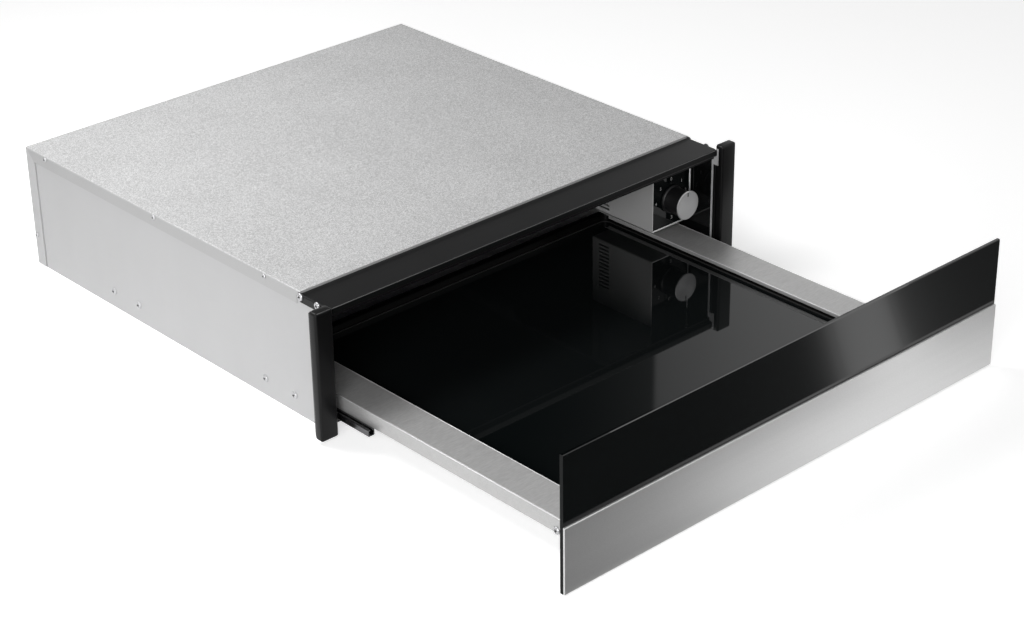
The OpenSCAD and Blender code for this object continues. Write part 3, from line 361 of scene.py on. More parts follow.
@dataclass(frozen=True)
class SmoothSheet(Finish):
    """Zinc-coated sheet, rolled smooth, with faint cloudy tone."""

    colour: Colour = (0.56, 0.56, 0.565)
    metallic: float = 0.2
    roughness: float = 0.5
    shade: float = 0.93
    speck_share: float = 0.3
    relief: float = 0.00002

    def lay(self, tree: ShaderTree) -> None:
        """Lays the cloudy tone, the specks and the rolling marks.

        Args:
            tree: the material's tree.
        """
        cloud = tree.noise((14.0, 14.0, 5.0), 3.0)
        roll = tree.noise((6.0, 6.0, 1400.0), 2.0)
        specks = tree.noise((1600.0,) * 3, 2.0)
        tone = tree.sum_of(tree.spread(cloud, 0.2, 0.8, *NOISE_SPAN), tree.swing(specks), self.speck_share)
        tree.feed("Base Color", tree.blend(tone, toned(self.colour, self.shade), self.colour))
        tree.feed("Roughness", tree.spread(roll, self.roughness - 0.05, self.roughness + 0.07))
        tree.set(Metallic=self.metallic)
        tree.bump(roll, self.relief, 0.35)


@dataclass(frozen=True)
class BrushedSteel(Finish):
    """Stainless steel ground in one direction, in strokes of one length."""

    along: Axis
    stroke: float
    colour: Colour
    roughness: float
    contrast: float
    metallic: float = 1.0
    band_share: float = 0.2
    relief: float = 0.00002

    def lay(self, tree: ShaderTree) -> None:
        """Lays the strokes of the belt and broad faint bands along them.

        Args:
            tree: the material's tree.
        """
        strokes = tree.noise(per_axis(self.along, 1.0 / self.stroke, 1700.0), 2.0, 0.55)
        bands = tree.noise(per_axis(self.along, 4.0, 160.0), 2.0)
        tone = tree.sum_of(tree.spread(strokes, 0.0, 1.0, *NOISE_SPAN), tree.swing(bands), self.band_share)
        tree.feed("Base Color", tree.blend(tone, toned(self.colour, 1.0 - self.contrast),
                                           toned(self.colour, 1.0 + self.contrast)))
        tree.feed("Roughness", tree.spread(strokes, self.roughness - 0.04, self.roughness + 0.06,
                                           *NOISE_SPAN))
        tree.set(Metallic=self.metallic)
        tree.bump(strokes, self.relief, 0.3)


@dataclass(frozen=True)
class SpunMetal(Finish):
    """Aluminium faced on a lathe: fine rings about an axis along Y, and wedges of light."""

    centre: tuple[float, float]
    colour: Colour = (0.41, 0.41, 0.413)
    shade: float = 0.85
    rings: float = 5200.0
    anisotropic: float = 0.6

    def distance(self, tree: ShaderTree) -> Socket:
        """How far a spot lies from the axis.

        Args:
            tree: the material's tree.

        Returns:
            The distance in metres.
        """
        shift = tree.nodes.new("ShaderNodeMapping")
        shift.inputs["Location"].default_value = (-self.centre[0], 0.0, -self.centre[1])
        shift.inputs["Scale"].default_value = (1.0, 0.0, 1.0)
        tree.links.new(tree.place, shift.inputs["Vector"])
        far = tree.nodes.new("ShaderNodeVectorMath")
        far.operation = "LENGTH"
        tree.links.new(shift.outputs["Vector"], far.inputs[0])
        return far.outputs["Value"]

    def lay(self, tree: ShaderTree) -> None:
        """Lays the rings and turns the gloss round the axis.

        Args:
            tree: the material's tree.
        """
        rings = tree.nodes.new("ShaderNodeTexNoise")
        rings.noise_dimensions = "1D"
        rings.inputs["Scale"].default_value = self.rings
        rings.inputs["Detail"].default_value = 2.0
        tree.links.new(self.distance(tree), rings.inputs["W"])
        line = rings.outputs["Fac"]
        tree.feed("Base Color", tree.blend(tree.spread(line, 0.0, 1.0, 0.25, 0.75),
                                           toned(self.colour, self.shade), self.colour))
        tree.feed("Roughness", tree.spread(line, 0.36, 0.46))
        tree.set(Metallic=1.0, Anisotropic=self.anisotropic)
        round_about = tree.nodes.new("ShaderNodeTangent")
        round_about.direction_type, round_about.axis = "RADIAL", "Y"
        tree.feed("Tangent", round_about.outputs["Tangent"])


@dataclass(frozen=True)
class PowderCoat(Finish):
    """Satin powder coat with a fine orange-peel skin."""

    colour: Colour = (0.004, 0.004, 0.0042)
    roughness: float = 0.3
    gloss: float = 0.16
    peel: float = 700.0
    relief: float = 0.00005

    def lay(self, tree: ShaderTree) -> None:
        """Lays the orange peel and a faint cloud of tone.

        Args:
            tree: the material's tree.
        """
        skin = tree.noise((self.peel,) * 3, 2.0)
        cloud = tree.noise((25.0,) * 3, 2.0)
        tree.feed("Base Color", tree.blend(cloud, self.colour, toned(self.colour, 1.3)))
        tree.feed("Roughness", tree.spread(cloud, self.roughness - 0.02, self.roughness + 0.02))
        tree.set(Specular_IOR_Level=self.gloss)
        tree.bump(skin, self.relief, 0.3)


@dataclass(frozen=True)
class GlossEnamel(Finish):
    """Gloss enamel fired on sheet, gently rippled."""

    roughness: float
    gloss: float
    colour: Colour = (0.003, 0.0032, 0.0034)
    ripple: float = 0.12
    relief: float = 0.00008

    def lay(self, tree: ShaderTree) -> None:
        """Lays the ripple and a haze of dust.

        Args:
            tree: the material's tree.
        """
        waves = tree.noise((90.0,) * 3, 2.0)
        dust = tree.spread(tree.noise((700.0,) * 3, 2.0), 0.0, 1.0, 0.5, 0.85)
        tree.feed("Base Color", tree.blend(dust, self.colour, toned(self.colour, 1.8)))
        tree.feed("Roughness", tree.spread(waves, self.roughness - 0.03, self.roughness + 0.05))
        tree.set(Specular_IOR_Level=self.gloss)
        tree.bump(waves, self.relief, self.ripple)


@dataclass(frozen=True)
class PolishedGlass(Finish):
    """Black-backed glass: a hard mirror-smooth face over black, its ground ends duller if wanted."""

    colour: Colour = (0.0034, 0.0047, 0.0049)
    gloss: float = 0.5
    end_gloss: float | None = None
    roughness: float = 0.015
    ior: float = 1.52

    def lay(self, tree: ShaderTree) -> None:
        """Lays a faint haze, and the gloss of the ends, which face along X.

        Args:
            tree: the material's tree.
        """
        haze = tree.noise((7.0,) * 3, 3.0)
        tree.feed("Base Color", tree.blend(haze, self.colour, toned(self.colour, 1.25)))
        tree.feed("Roughness", tree.spread(haze, self.roughness, self.roughness + 0.02, *NOISE_SPAN))
        tree.set(IOR=self.ior, Specular_IOR_Level=self.gloss)
        if self.end_gloss is not None:
            ends = tree.spread(tree.facing(Axis.X), self.gloss, self.end_gloss, *FACE_SPAN)
            tree.feed("Specular IOR Level", ends)


@dataclass(frozen=True)
class Moulded(Finish):
    """Moulded plastic, rubber or fired ceramic with a fine skin."""

    colour: Colour
    roughness: float
    grain: float = 1500.0
    relief: float = 0.00003

    def lay(self, tree: ShaderTree) -> None:
        """Lays the skin and a faint cloud of tone.

        Args:
            tree: the material's tree.
        """
        skin = tree.noise((self.grain,) * 3, 2.0)
        cloud = tree.spread(tree.noise((35.0,) * 3, 2.0), 0.0, 1.0, *NOISE_SPAN)
        tree.feed("Base Color", tree.blend(cloud, toned(self.colour, 0.9), self.colour))
        tree.feed("Roughness", tree.spread(skin, self.roughness - 0.06, self.roughness + 0.08, *NOISE_SPAN))
        tree.bump(skin, self.relief, 0.5)


@dataclass(frozen=True)
class Woolly(Finish):
    """Matted mineral wool board."""

    colour: Colour = (0.5, 0.43, 0.2)
    relief: float = 0.0005

    def lay(self, tree: ShaderTree) -> None:
        """Lays the matted fibres.

        Args:
            tree: the material's tree.
        """
        fibres = tree.noise((260.0, 1900.0, 900.0), 5.0, 0.7)
        tree.feed("Base Color", tree.blend(fibres, toned(self.colour, 0.6), self.colour))
        tree.set(Roughness=0.95)
        tree.bump(fibres, self.relief, 0.8)


@dataclass(frozen=True)
class PlatedMetal(Finish):
    """Zinc or nickel plate with a slight uneven lustre."""

    colour: Colour = (0.6, 0.61, 0.63)
    roughness: float = 0.27
    relief: float = 0.00003

    def lay(self, tree: ShaderTree) -> None:
        """Lays the uneven lustre.

        Args:
            tree: the material's tree.
        """
        cloud = tree.noise((120.0, 60.0, 120.0), 3.0)
        tree.feed("Base Color", tree.blend(cloud, toned(self.colour, 0.82), self.colour))
        tree.feed("Roughness", tree.spread(cloud, self.roughness - 0.05, self.roughness + 0.1, *NOISE_SPAN))
        tree.set(Metallic=1.0)
        tree.bump(cloud, self.relief, 0.2)


# Mesh building


def mesh_object(name: str, build: Callable[[Grid], None], smooth: float = 35.0) -> Piece:
    """Makes an object from a function that fills a mesh.

    Args:
        name: the object's name.
        build: fills the mesh.
        smooth: edges flatter than this angle, in degrees, shade smoothly.

    Returns:
        The new object, linked to the scene.
    """
    grid = bmesh.new()
    build(grid)
    bmesh.ops.recalc_face_normals(grid, faces=grid.faces)
    limit = math.radians(smooth)
    for edge in grid.edges:
        edge.smooth = len(edge.link_faces) == 2 and edge.calc_face_angle(math.pi) < limit
    for face in grid.faces:
        face.smooth = True
    mesh = bpy.data.meshes.new(name)
    grid.to_mesh(mesh)
    grid.free()
    piece = bpy.data.objects.new(name, mesh)
    bpy.context.scene.collection.objects.link(piece)
    return piece


def revolve(grid: Grid, profile: Sequence[tuple[float, float]], steps: int, place: Matrix) -> None:
    """Turns a profile about a local Z axis.

    Args:
        grid: the mesh to fill.
        profile: radius and height pairs, from the foot on the axis to the top on the axis.
        steps: facets of a full turn.
        place: where the turned shape goes.
    """
    rings = []
    for radius, height in profile:
        if radius == 0.0:
            rings.append([grid.verts.new(place @ Vector((0.0, 0.0, height)))])
            continue
        turn = [2 * math.pi * k / steps for k in range(steps)]
        rings.append([grid.verts.new(place @ Vector((radius * math.cos(a), radius * math.sin(a), height)))
                      for a in turn])
    for low, high in zip(rings, rings[1:]):
        for k in range(steps):
            after = (k + 1) % steps
            corners = [low[k % len(low)], low[after % len(low)], high[after % len(high)], high[k % len(high)]]
            grid.faces.new(list(dict.fromkeys(corners)))


def box_mesh(grid: Grid, low: Vector, high: Vector, edge: float, steps: int) -> None:
    """A block between two corners with all its edges rounded.

    Args:
        grid: the mesh to fill.
        low: lowest corner.
        high: highest corner.
        edge: width of the rounding.
        steps: facets of the rounding.
    """
    size = high - low
    made = bmesh.ops.create_cube(grid, size=1.0, matrix=Matrix.Translation((low + high) / 2)
                                 @ Matrix.Diagonal((*size, 1.0)))
    edges = list(dict.fromkeys(e for v in made["verts"] for e in v.link_edges))
    bmesh.ops.bevel(grid, geom=edges, offset=edge, segments=steps, profile=0.5, affect="EDGES")


def standing(spot: Point, way: Sequence[float]) -> Matrix:
    """Where a shape goes that was made upright on Z = 0.

    Args:
        spot: where its foot stands.
        way: which way it then points.

    Returns:
        The place.
    """
    return Matrix.Translation(spot) @ Vector(way).to_track_quat("Z", "Y").to_matrix().to_4x4()


def bare_material(name: str) -> tuple[Material, bpy.types.Nodes, bpy.types.NodeLinks]:
    """A material with no nodes yet.

    Args:
        name: its name.

    Returns:
        The material, its nodes and its links.
    """
    material = bpy.data.materials.new(name)
    material.use_nodes = True
    material.node_tree.nodes.clear()
    return material, material.node_tree.nodes, material.node_tree.links


def dress(piece: Piece, material: Material) -> None:
    """Gives a piece one material in all its slots.

    Args:
        piece: the piece.
        material: its material.
    """
    mesh = piece.data
    if not mesh.materials:
        mesh.materials.append(material)
    for i in range(len(mesh.materials)):
        mesh.materials[i] = material


# Sub-assemblies


def knob_centre() -> tuple[float, float]:
    """Where the dial's axis lies.

    Returns:
        Its X and Z.
    """
    low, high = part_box("knob_cap")
    return (low.x + high.x) / 2, (low.z + high.z) / 2


def islands(grid: Grid) -> Iterable[list[Vector]]:
    """Parts a mesh into its separate solids.

    Args:
        grid: the mesh.

    Returns:
        The points of each solid in turn.
    """
    seen = set()
    for start in grid.verts:
        if start in seen:
            continue
        seen.add(start)
        queue, points = [start], []
        while queue:
            vert = queue.pop()
            points.append(vert.co.copy())
            for edge in vert.link_edges:
                other = edge.other_vert(vert)
                if other not in seen:
                    seen.add(other)
                    queue.append(other)
        yield points


def screw_places(node: str) -> list[tuple[Point, Point]]:
    """Finds each screw of a CAD node: its seat and the way its head points.

    Args:
        node: the screws' CAD node.

    Returns:
        Seat and outward direction of each screw.
    """
    grid = bmesh.new()
    grid.from_mesh(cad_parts[node].data)
    bmesh.ops.remove_doubles(grid, verts=grid.verts, dist=WELD)
    found = []
    for points in islands(grid):
        low, high = Vector(map(min, zip(*points))), Vector(map(max, zip(*points)))
        size, middle = high - low, (low + high) / 2
        if abs(size.y - size.z) < abs(size.x - size.z):
            side = math.copysign(1.0, middle.x)
            tip = high.x if side > 0 else low.x
            found.append(((tip - side * HEAD_HEIGHT, middle.y, middle.z), (side, 0.0, 0.0)))
        else:
            found.append(((middle.x, high.y - HEAD_HEIGHT, middle.z), (0.0, 1.0, 0.0)))
    grid.free()
    return found


@dataclass
class CrossScrews:
    """A set of pan-head screws with pressed cross recesses, in place of plain CAD ones."""

    node: str
    body: str
    heads: list[tuple[Point, Point]]
    head_radius: float
    head_height: float = HEAD_HEIGHT
    shank_radius: float = 1.5 * MM
    shank_length: float = 4.0 * MM
    steps: int = 28
    arm_share: float = 0.7
    width_share: float = 0.2
    cutter_share: float = 1.3
    foot_share: float = 0.45
    turn: float = 0.4

    def head_profile(self) -> list[tuple[float, float]]:
        """Profile of shank and head, from the tip to the crown.

        Returns:
            Radius and height pairs.
        """
        r, h, s = self.head_radius, self.head_height, self.shank_radius
        tip = -self.shank_length
        return [(0.0, tip), (s * 0.8, tip), (s, tip + s * 0.4), (s, -0.02 * MM), (r * 0.99, 0.0),
                (r, h * 0.1), (r * 0.99, h * 0.38), (r * 0.93, h * 0.6), (r * 0.8, h * 0.8),
                (r * 0.58, h * 0.94), (0.0, h * 0.97)]

    def recess(self, grid: Grid) -> None:
        """Fills the cutter of the cross recess, with arms that narrow to their foot.

        Args:
            grid: the mesh to fill.
        """
        arm, width = self.head_radius * self.arm_share, self.head_radius * self.width_share
        block = Matrix.Diagonal((2 * arm, 2 * width, self.head_height * self.cutter_share, 1.0))
        for quarter in (0.0, math.pi / 2):
            place = (Matrix.Rotation(quarter + self.turn, 4, "Z")
                     @ Matrix.Translation((0, 0, self.head_height)) @ block)
            for vert in bmesh.ops.create_cube(grid, size=1.0, matrix=place)["verts"]:
                if vert.co.z < self.head_height:
                    vert.co.x *= self.foot_share
                    vert.co.y *= self.foot_share

    def master(self) -> bpy.types.Mesh:
        """Builds one screw with its recess cut.

        Returns:
            The cut mesh, standing on Z = 0.
        """
        blank = mesh_object(self.node + "_blank", lambda g: revolve(g, self.head_profile(), self.steps,
                                                                    Matrix.Identity(4)))
        cutter = mesh_object(self.node + "_cutter", self.recess)
        for body in (blank, cutter):
            body.data.materials.append(None)
            body.data.materials.append(None)
        for face in cutter.data.polygons:
            face.material_index = 1
        cut = blank.modifiers.new("recess", "BOOLEAN")
        cut.object, cut.operation, cut.solver = cutter, "DIFFERENCE", "EXACT"
        cut.use_self = True
        graph = bpy.context.evaluated_depsgraph_get()
        made = bpy.data.meshes.new_from_object(blank.evaluated_get(graph))
        for spare in (blank, cutter):
            bpy.data.objects.remove(spare)
        return made

    def build(self, material: Material, shade: Material) -> Piece:
        """Places a screw at each head and joins them to one piece.

        Args:
            material: the screws' finish.
            shade: what the recess shows.

        Returns:
            The piece.
        """
        one = self.master()

        def fill(grid: Grid) -> None:
            """Copies the master screw to every place.

            Args:
                grid: the mesh to fill.
            """
            for spot, out in self.heads:
                before = len(grid.verts)
                grid.from_mesh(one)
                grid.verts.ensure_lookup_table()
                place = standing(spot, out)
                for vert in grid.verts[before:]:
                    vert.co = place @ vert.co

        piece = mesh_object("dressed_" + self.node, fill)
        dress(piece, material)
        piece.data.materials.append(shade)
        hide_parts(self.node)
        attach(piece, self.body)
        return piece


@dataclass
class FramePost:
    """A black post of the front frame: a tube with eased edges, and the leg behind the opening."""

    node: str
    width: float = 21.0 * MM
    gap: float = 0.5 * MM
    rebate: float = 1.0 * MM
    rebate_from: float = 10.95 * MM
    leg_depth: float = 3.0 * MM
    leg_lap: float = 2.5 * MM
    leg_end: float = 22.6 * MM
    edge: float = 2.6 * MM
    ease: float = 0.3 * MM

    def build(self, finish: Material) -> Piece:
        """Builds the eased post over its CAD node.

        Args:
            finish: the frame's finish.

        Returns:
            The piece.
        """
        low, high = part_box(self.node)
        side = math.copysign(1.0, low.x + high.x)
        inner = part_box("top_cover")[1].x + self.gap
        outer = inner + self.width
        back = high.y - self.rebate

        def fill(grid: Grid) -> None:
            """Tube, its rear strip and the leg, made on the right and mirrored for the left post.

            Args:
                grid: the mesh to fill.
            """
            box_mesh(grid, Vector((inner, low.y, low.z)), Vector((outer, back, high.z)), self.edge, 5)
            box_mesh(grid, Vector((inner + self.rebate_from, back - self.edge, low.z + self.edge)),
                     Vector((outer - self.edge / 2, high.y, high.z - self.edge)), self.ease, 2)
            box_mesh(grid, Vector((inner - self.leg_lap, back - self.leg_depth, low.z + self.edge)),
                     Vector((inner + self.edge * 2, back, high.z - self.leg_end)), self.ease, 2)
            for vert in grid.verts:
                vert.co.x *= side

        piece = mesh_object("dressed_" + self.node, fill, 50.0)
        dress(piece, finish)
        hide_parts(self.node)
        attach(piece, "cabinet")
        return piece


@dataclass(frozen=True)
class Bead:
    """The rounded rim of a sheet's edge, a thin rod that wears a lighter finish than its sheet: painted
    highlight where the edge catches the light.
    """

    name: str
    body: str
    kind: str
    start: Point
    end: Point
    radius: float
    steps: int = 12

    def build(self, finish: Material) -> Piece:
        """Builds the rim as a thin round rod along the edge.

        Args:
            finish: the rim's finish.

        Returns:
            The piece.
        """
        way = Vector(self.end) - Vector(self.start)
        place = standing(self.start, way)
        r, far = self.radius, way.length
        profile = [(0.0, 0.0), (r * 0.6, 0.0), (r, r * 0.4), (r, far - r * 0.4), (r * 0.6, far), (0.0, far)]
        piece = mesh_object(self.name, lambda g: revolve(g, profile, self.steps, place), 50.0)
        dress(piece, finish)
        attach(piece, self.body)
        return piece


@dataclass
class DialCap:
    """The turned cap of the dial knob with its index line."""

    rings: int = 5
    groove: float = 0.03 * MM
    groove_share: float = 0.02
    chamfer: float = 0.6 * MM
    steps: int = 96
    line_width: float = 1.8 * MM
    line_length: float = 4.6 * MM
    line_inset: float = 1.6 * MM
    line_depth: float = 0.4 * MM
    line_proud: float = 0.001 * MM
    line_edge: float = 0.04 * MM

    def profile(self, radius: float, depth: float) -> list[tuple[float, float]]:
        """Section of the cap from its seat to the middle of its face.

        Args:
            radius: the cap's radius.
            depth: its depth.

        Returns:
            Radius and height pairs.
        """
        face = [(radius - self.chamfer, depth), (radius - self.chamfer * 2.2, depth)]
        face.append((radius - self.chamfer * 2.6, depth - self.groove * 3))
        span = radius - self.chamfer * 3.0
        for i in range(self.rings):
            outer = span * (1.0 - i / self.rings)
            for step, sunk in enumerate((1, 2, 1)):
                face.append((outer - span * self.groove_share * step, depth - self.groove * sunk))
        return [(0.0, 0.0), (radius - self.chamfer, 0.0), (radius, self.chamfer),
                (radius, depth - self.chamfer), *face, (0.0, depth - self.groove)]

    def build(self, metal: Material, paint: Material) -> list[Piece]:
        """Builds the cap and its index line.

        Args:
            metal: the cap's finish.
            paint: the index line's finish.

        Returns:
            The pieces.
        """
        low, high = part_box("knob_cap")
        radius, depth = (high.x - low.x) / 2, high.y - low.y
        x, z = knob_centre()
        place = Matrix.Translation((x, high.y, z)) @ UPRIGHT
        section = self.profile(radius, depth)
        cap = mesh_object("dial_cap", lambda g: revolve(g, section, self.steps, place), 20.0)
        dress(cap, metal)
        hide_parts("knob_cap")
        top = z + radius - self.line_inset
        line = mesh_object("dial_index", lambda g: box_mesh(
            g, Vector((x - self.line_width / 2, low.y - self.line_proud, top - self.line_length)),
            Vector((x + self.line_width / 2, low.y + self.line_depth, top)), self.line_edge, 2))
        dress(line, paint)
        for piece in (cap, line):
            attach(piece, "dial")
        return [cap, line]


@dataclass
class DialScale:
    """Numbers printed on the glass face round the dial, each at its angle in degrees."""

    radius: float = 23.0 * MM
    size: float = 5.6 * MM
    thickness: float = 0.05 * MM
    places: dict[str, float] = field(default_factory=lambda: {
        "0": 90.0, "1": 45.0, "2": 8.0, "3": 274.0, "4": 180.0, "5": 135.0})

    def number(self, text: str, spot: Vector) -> Piece:
        """One printed number.

        Args:
            text: the number.
            spot: its centre on the face.

        Returns:
            The number as a mesh piece.
        """
        curve = bpy.data.curves.new("number_" + text, "FONT")
        curve.body, curve.size = text, self.size
        curve.extrude = self.thickness / 2
        curve.align_x, curve.align_y = "CENTER", "CENTER"
        shape = bpy.data.objects.new("number_" + text, curve)
        bpy.context.scene.collection.objects.link(shape)
        shape.matrix_world = Matrix.Translation(spot) @ UPRIGHT
        bpy.context.view_layer.update()
        graph = bpy.context.evaluated_depsgraph_get()
        mesh = bpy.data.meshes.new_from_object(shape.evaluated_get(graph))
        mesh.transform(shape.matrix_world)
        bpy.data.objects.remove(shape)
        piece = bpy.data.objects.new("dial_number_" + text, mesh)
        bpy.context.scene.collection.objects.link(piece)
        return piece

    def build(self, paint: Material) -> list[Piece]:
        """Prints the numbers on the control face.

        Args:
            paint: the print's finish.

        Returns:
            The printed pieces.
        """
        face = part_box("control_face")[0].y
        x, z = knob_centre()
        made = []
        for text, angle in self.places.items():
            a = math.radians(angle)
            piece = self.number(text, Vector((x + self.radius * math.cos(a), face - self.thickness / 2,
                                              z + self.radius * math.sin(a))))
            dress(piece, paint)
            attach(piece, "cabinet")
            made.append(piece)
        return made


@dataclass
class Cabinet:
    """The sheet cabinet with its frame, screws and controls."""

    finishes: dict[str, Material]
    short_leg: float = 5.6 * MM
    screw_radii: dict[str, float] = field(default_factory=lambda: {
        "cover_screws": 2.75 * MM, "frame_screws": 4.0 * MM, "runner_screws": 4.0 * MM,
        "back_screws": 2.75 * MM, "post_screws": 2.75 * MM})
    box_rim: float = 0.75 * MM
    box_rim_in: float = 0.6 * MM
    box_rim_stop: float = 2.0 * MM
    highlight_radius: float = 0.35 * MM
    rail_highlight_in: float = 0.25 * MM
    rail_highlight_stop: float = 3.0 * MM
    post_highlight_in: float = 0.76 * MM
    post_highlight: tuple[float, float] = (2.6 * MM, 18.4 * MM)

    def box_rims(self) -> Iterable[Bead]:
        """Rims of the control box's open front.

        Returns:
            The left, right and lower rim.
        """
        low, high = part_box("control_box")
        r = self.box_rim
        y, z = low.y + self.box_rim_in, low.z + r
        for side, x in (("left", low.x + r), ("right", high.x - r)):
            yield Bead(f"box_{side}_rim", "cabinet", "stainless", (x, y, z),
                       (x, y, high.z - self.box_rim_stop), r)
        yield Bead("box_lower_rim", "cabinet", "stainless", (low.x + r, y, z), (high.x - r, y, z), r)

    def highlight_edges(self) -> Iterable[Bead]:
        """Edges of the black frame that carry a painted highlight.

        Returns:
            The top rail's edge and the left post's.
        """
        low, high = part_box("top_rail")
        y, z = low.y + self.rail_highlight_in, high.z - self.rail_highlight_in
        yield Bead("rail_rim", "cabinet", "black_frame", (low.x + self.rail_highlight_stop, y, z),
                   (high.x - self.rail_highlight_stop, y, z), self.highlight_radius)
        low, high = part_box("left_post")
        y, z = low.y + self.post_highlight_in, high.z - self.post_highlight_in
        start, end = self.post_highlight
        yield Bead("post_rim", "cabinet", "black_frame", (low.x + start, y, z), (low.x + end, y, z), self.highlight_radius)

    def build(self) -> list[Piece]:
        """Builds the cabinet's dressed pieces.

        Returns:
            The pieces.
        """
        coat, zinc, shade = (self.finishes[n] for n in ("black_frame_coat", "screw_zinc", "recess_shade"))
        posts = (FramePost("left_post", leg_end=self.short_leg), FramePost("right_post"))
        made = [post.build(coat) for post in posts]
        # the box rims wear a near-white finish: painted highlight along the box's front edges
        made += [bead.build(self.finishes["white_rim_highlight"]) for bead in self.box_rims()]
        # the frame rims wear a grey lighter than the coat: painted highlight along the edges
        made += [bead.build(self.finishes["coat_highlight"]) for bead in self.highlight_edges()]
        made += [CrossScrews(node, "cabinet", screw_places(node), radius).build(zinc, shade)
                 for node, radius in self.screw_radii.items()]
        made += DialCap().build(self.finishes["spun_cap"], self.finishes["black_moulding"])
        made += DialScale().build(self.finishes["dial_print"])
        return made


@dataclass
class Drawer:
    """The sliding drawer's dressed pieces."""

    finishes: dict[str, Material]
    screw_radius: float = 4.0 * MM
    rim: float = 0.4 * MM
    rim_in: float = 0.3 * MM

    def rims(self) -> Iterable[Bead]:
        """Rims of the side channels' folds and of the steel band.

        Returns:
            The two rims of each channel and the band's upper one.
        """
        for node in ("drawer_left_channel", "drawer_right_channel"):
            low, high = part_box(node)
            z = high.z - self.rim_in
            for side, x in (("outer", low.x + self.rim_in), ("inner", high.x - self.rim_in)):
                yield Bead(f"{node}_{side}_rim", "drawer", "stainless", (x, low.y + self.rim_in, z),
                           (x, high.y - self.rim_in, z), self.rim)
        low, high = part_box("front_steel_band")
        y, z = low.y + self.rim, high.z - self.rim_in
        yield Bead("band_rim", "drawer", "stainless", (low.x + self.rim_in, y, z),
                   (high.x - self.rim_in, y, z), self.rim)

    def build(self) -> list[Piece]:
        """Builds the drawer's dressed pieces.

        Returns:
            The pieces.
        """
        screws = CrossScrews("skirt_screws", "drawer", screw_places("skirt_screws"), self.screw_radius)
        made = [screws.build(self.finishes["screw_zinc"], self.finishes["recess_shade"])]
        # the drawer's rims wear a light finish: painted highlight along the folds and the band's top edge
        made += [bead.build(self.finishes["fold_highlight"]) for bead in self.rims()]
        return made


# What each CAD piece wears


@dataclass
class Finishes:
    """Every material of the drawer, made once."""

    made: dict[str, Material] = field(default_factory=dict)

    def build(self) -> dict[str, Material]:
        """Makes the materials.

        Returns:
            Materials by name.
        """
        for finish in (
                SpangledSheet("spangled_cover"),
                SmoothSheet("zinc_side"),
                SmoothSheet("zinc_small", (0.6, 0.6, 0.61), 0.7, 0.36),
                SmoothSheet("box_sheet", (0.46, 0.46, 0.46), 0.1, 0.5),
                SmoothSheet("rear_sheet", (0.42, 0.44, 0.45), 0.2, 0.45),
                # light sheet for the rims of the channels' folds and the band's top edge: painted highlight
                SmoothSheet("fold_highlight", (0.82, 0.82, 0.82), 0.3, 0.4),
                # near-white sheet for the control box's rims: painted highlight along its front edges
                SmoothSheet("white_rim_highlight", (0.95, 0.95, 0.95), 0.0, 0.4),
                BrushedSteel("band_steel", Axis.X, 0.002, (0.6, 0.6, 0.6), 0.42, 0.06),
                BrushedSteel("channel_steel", Axis.X, 0.006, (0.5, 0.498, 0.496), 0.4, 0.12, 0.5),
                SpunMetal("spun_cap", knob_centre()),
                PowderCoat("black_frame_coat"),
                GlossEnamel("black_cavity", 0.05, 0.6, ripple=0.04),
                GlossEnamel("black_tray", 0.2, 0.12, (0.003, 0.003, 0.003)),
                PolishedGlass("floor_glass", (0.0056, 0.0068, 0.007)),
                PolishedGlass("panel_glass", (0.0022, 0.003, 0.0031), end_gloss=0.08),
                PolishedGlass("dial_glass", gloss=0.2),
                PlatedMetal("rail_zinc"),
                PlatedMetal("runner_steel", (0.14, 0.14, 0.145), 0.22),
                PlatedMetal("screw_zinc", (0.5, 0.5, 0.51), 0.3),
                PlatedMetal("element_steel", (0.2, 0.18, 0.17), 0.42),
                # grey lighter than the black coat, for rims on the rail's and left post's top front edges:
                # painted highlight
                Moulded("coat_highlight", (0.07, 0.07, 0.07), 0.4),
                Moulded("recess_shade", (0.02, 0.02, 0.02), 0.6),
                Moulded("black_moulding", (0.006, 0.006, 0.0065), 0.42),
                Moulded("white_acetal", (0.72, 0.72, 0.69), 0.38),
                Moulded("dark_seal", (0.02, 0.02, 0.02), 0.62),
                Moulded("glazed_ceramic", (0.75, 0.72, 0.64), 0.18),
                Moulded("dial_print", (0.6, 0.6, 0.6), 0.5),
                Woolly("mineral_wool")):
            self.made[finish.name] = finish.material()
        return self.made


